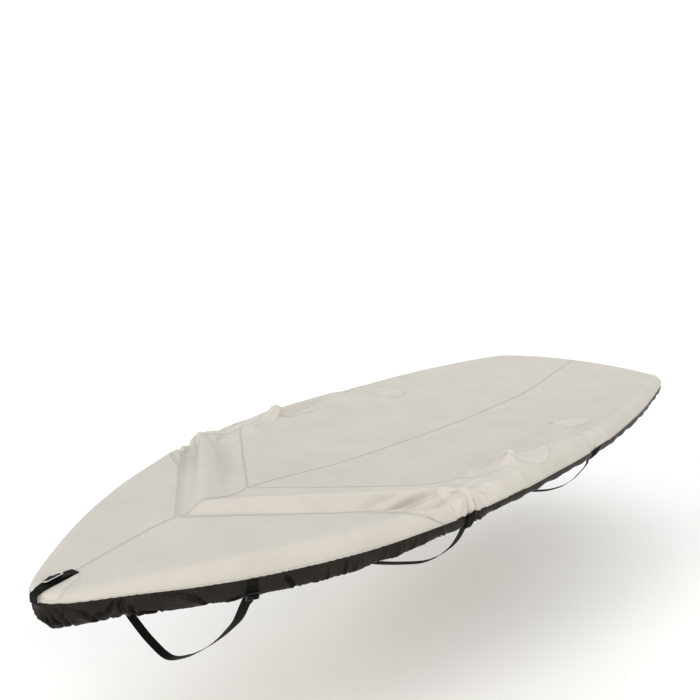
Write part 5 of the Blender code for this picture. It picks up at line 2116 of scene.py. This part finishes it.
@dataclass(frozen=True)
class CoatedCanvas(Finish):
    """Plain-woven polyester canvas, dyed in the yarn and coated on its back.

    The weave gives a fine matt tooth, and the coating holds small hard crinkles.
    """

    name: str = "woven_polyester_canvas_coated"
    low: str = "#b6b2ab"
    high: str = "#bcb8b1"
    roughness: float = 0.78
    specular: float = 0.30
    cloth: bool = True
    dye: Uneven = Uneven(190 * MM, 3.0)
    heights: tuple[Uneven, ...] = (Uneven(85 * MM, 1.5, 1.3 * MM),
                                   Uneven(28 * MM, 2.0, 0.55 * MM))
    # Real threads lie 0.4 mm apart. They are drawn at 0.9 mm, so that a near view shows them.
    weave: Weave = Weave(0.9 * MM, 0.9 * MM, 0.10 * MM)
    others: tuple[tuple[str, float], ...] = (("Sheen Weight", 0.06), ("Sheen Roughness", 0.5))


@dataclass(frozen=True)
class SkirtNylon(Finish):
    """Fine filament nylon, dyed black and calendered.

    Calendering leaves a low sheen, which picks out the edges of its wrinkles and crinkles.
    """

    name: str = "filament_nylon_calendered_black"
    low: str = "#1e1b18"
    high: str = "#25221e"
    roughness: float = 0.42
    specular: float = 0.09
    cloth: bool = True
    dye: Uneven = Uneven(90 * MM, 2.0)
    heights: tuple[Uneven, ...] = (Uneven(19 * MM, 2.0, 3.0 * MM),
                                   Uneven(7.5 * MM, 2.0, 1.3 * MM))


@dataclass(frozen=True)
class StrapWebbing(Finish):
    """Polypropylene webbing, woven in fine cross ribs and dyed black.

    The ribs catch a dull light across the strap, and its selvedges a slightly brighter one.
    """

    name: str = "polypropylene_webbing_woven_black"
    low: str = "#0b0b0b"
    high: str = "#111110"
    roughness: float = 0.62
    specular: float = 0.09
    cloth: bool = True
    dye: Uneven = Uneven(12 * MM, 2.0)
    weave: Weave = Weave(1.5 * MM, 2.4 * MM, 0.30 * MM)


@dataclass(frozen=True)
class MouldedAcetal(Finish):
    """Injection-moulded black acetal, with the faint grain of its mould."""

    name: str = "moulded_acetal_black"
    low: str = "#0c0c0c"
    high: str = "#0c0c0c"
    roughness: float = 0.34
    heights: tuple[Uneven, ...] = (Uneven(1.2 * MM, 2.0, 0.05 * MM),)
    others: tuple[tuple[str, float], ...] = (("IOR", 1.48),)


@dataclass(frozen=True)
class PolishedSteel(Finish):
    """Stainless steel, blanked, tumbled and polished, with light rubbing marks."""

    name: str = "stainless_steel_polished"
    low: str = "#b9bab8"
    high: str = "#c9cac8"
    roughness: float = 0.20
    dye: Uneven = Uneven(4 * MM, 4.0)
    heights: tuple[Uneven, ...] = (Uneven(4 * MM, 4.0, 0.03 * MM),)
    others: tuple[tuple[str, float], ...] = (("Metallic", 1.0),)


@dataclass(frozen=True)
class SewingThread(Finish):
    """Bonded polyester thread: twisted, dyed and slightly shiny from its bonding."""

    roughness: float = 0.55
    specular: float = 0.35
    dye: Uneven = Uneven(8 * MM, 2.0)


@dataclass(frozen=True)
class StudioPaper(Finish):
    """Plain pale paper under and behind the cover, which leaves its light even."""

    name: str = "studio_paper_matt"
    low: str = "#f0f0ef"
    high: str = "#f0f0ef"
    roughness: float = 0.9
    specular: float = 0.1


# ---- Studio and main


class SoftLight(NamedTuple):
    """A broad soft light: its heading and height in degrees, its strength and colour."""

    name: str
    heading: float
    height: float
    strength: float
    colour: tuple[float, float, float]


@dataclass
class Studio:
    """The camera, the plain pale floor and the soft light."""

    place: tuple[float, float, float] = (3.588, 2.286, 1.2696)
    yaw: float = -144.02
    pitch: float = -10.98
    lens: float = 47.587
    floor_height: float = -0.90
    floor_reach: float = 45.0
    sky: tuple[tuple[float, float], ...] = ((0.0, 1.08), (0.20, 1.08), (0.32, 0.62), (0.62, 0.70),
                                            (0.82, 1.36), (1.0, 1.46))
    sky_tint: tuple[float, float, float, float] = (0.975, 0.988, 1.0, 1.0)
    spread: float = 16.0
    lights: tuple[SoftLight, ...] = (SoftLight("port_light", 66.0, 30.0, 0.95, (1.0, 0.91, 0.80)),
                                     SoftLight("bow_light", -10.0, 26.0, 1.0, (1.0, 0.95, 0.87)))

    @staticmethod
    def turned(heading: float, height: float, axis: str) -> Matrix:
        """Turn one axis of an object to a heading and height in degrees.

        Args:
            heading: the angle from x toward y.
            height: the angle above level.
            axis: the axis to turn.

        Returns:
            The turn alone, about the origin.
        """
        heading, height = math.radians(heading), math.radians(height)
        aim = Vector((math.cos(height) * math.cos(heading),
                      math.cos(height) * math.sin(heading), math.sin(height)))
        return aim.to_track_quat(axis, "Y").to_matrix().to_4x4()

    def build_camera(self) -> None:
        """Set the camera and make it the scene's own."""
        data = bpy.data.cameras.new("camera")
        data.lens, data.sensor_width = self.lens, 36.0
        camera = add_item("camera", data)
        camera.matrix_world = (Matrix.Translation(self.place)
                               @ self.turned(self.yaw, self.pitch, "-Z"))
        bpy.context.scene.camera = camera

    def build_light(self) -> None:
        """Light it softly: a pale sky, brightest overhead, and a light from port and the bow."""
        world = bpy.data.worlds.new("pale_sky")
        world.use_nodes = True
        tree = world.node_tree
        tree.nodes.clear()
        toward = add_node(tree, "TexCoord", {}, {}).outputs["Generated"]
        parts = add_node(tree, "SeparateXYZ", {}, {"Vector": toward})
        ramp = add_node(tree, "ValToRGB", {}, {"Fac": parts.outputs["Z"]})
        stops = ramp.color_ramp.elements
        for height, _ in self.sky[1:-1]:
            stops.new(height)
        for stop, (height, value) in zip(stops, self.sky):
            stop.position, stop.color = height, (value, value, value, 1.0)
        tinted_sky = add_node(tree, "Mix", {"data_type": "RGBA", "blend_type": "MULTIPLY"},
                              {0: 1.0, 6: ramp.outputs[0], 7: self.sky_tint})
        sky = add_node(tree, "Background", {}, {"Color": tinted_sky.outputs[2]})
        add_node(tree, "OutputWorld", {}, {"Surface": sky.outputs[0]})
        bpy.context.scene.world = world
        for light in self.lights:
            data = bpy.data.lights.new(light.name, "SUN")
            data.energy, data.color = light.strength, light.colour
            data.angle = math.radians(self.spread)
            lamp = add_item(light.name, data)
            lamp.matrix_world = self.turned(light.heading, light.height, "Z")
        bpy.context.scene.view_settings.view_transform = "Standard"

    def build_floor(self) -> None:
        """Lay the floor, well past the edge of the picture."""
        reach, height = self.floor_reach, self.floor_height
        corners = np.array([(-reach, -reach, height), (reach, -reach, height),
                            (reach, reach, height), (-reach, reach, height)])
        floor = mesh_piece("floor", corners, [(0, 1, 2, 3)])
        floor.data.materials.append(StudioPaper().build())


def main() -> None:
    """Build the camera, the cloth, the straps and the bow handle."""
    logging.basicConfig(level=logging.INFO, format="%(message)s")
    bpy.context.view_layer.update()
    studio = Studio()
    studio.build_camera()
    studio.build_light()
    studio.build_floor()
    canvas = CoatedCanvas().build()
    patch_canvas = CoatedCanvas("woven_polyester_canvas_coated_patch", "#bab6af",
                                "#c0bcb5").build()
    nylon = SkirtNylon().build()
    webbing = StrapWebbing().build()
    plastic = MouldedAcetal().build()
    steel = PolishedSteel().build()
    thread = SewingThread("bonded_polyester_thread_taupe", "#857d70", "#918a7c").build()
    black_thread = SewingThread("bonded_polyester_thread_black", "#171716", "#222120").build()

    form = CoverForm()
    skin = CoverSkin(form, ClothRelief(form))
    top = CanvasTop(skin, canvas, thread)
    top.build_panels()
    top.sew()
    SewnPatches(skin, patch_canvas, thread).build()
    skirt = GatheredSkirt(skin, nylon, black_thread)
    skirt.build()
    BellyStraps(skin, skirt, webbing, plastic, black_thread).build()
    BowHandle(skin, webbing, steel, black_thread).build()
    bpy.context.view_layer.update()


if __name__ == "__main__":
    main()
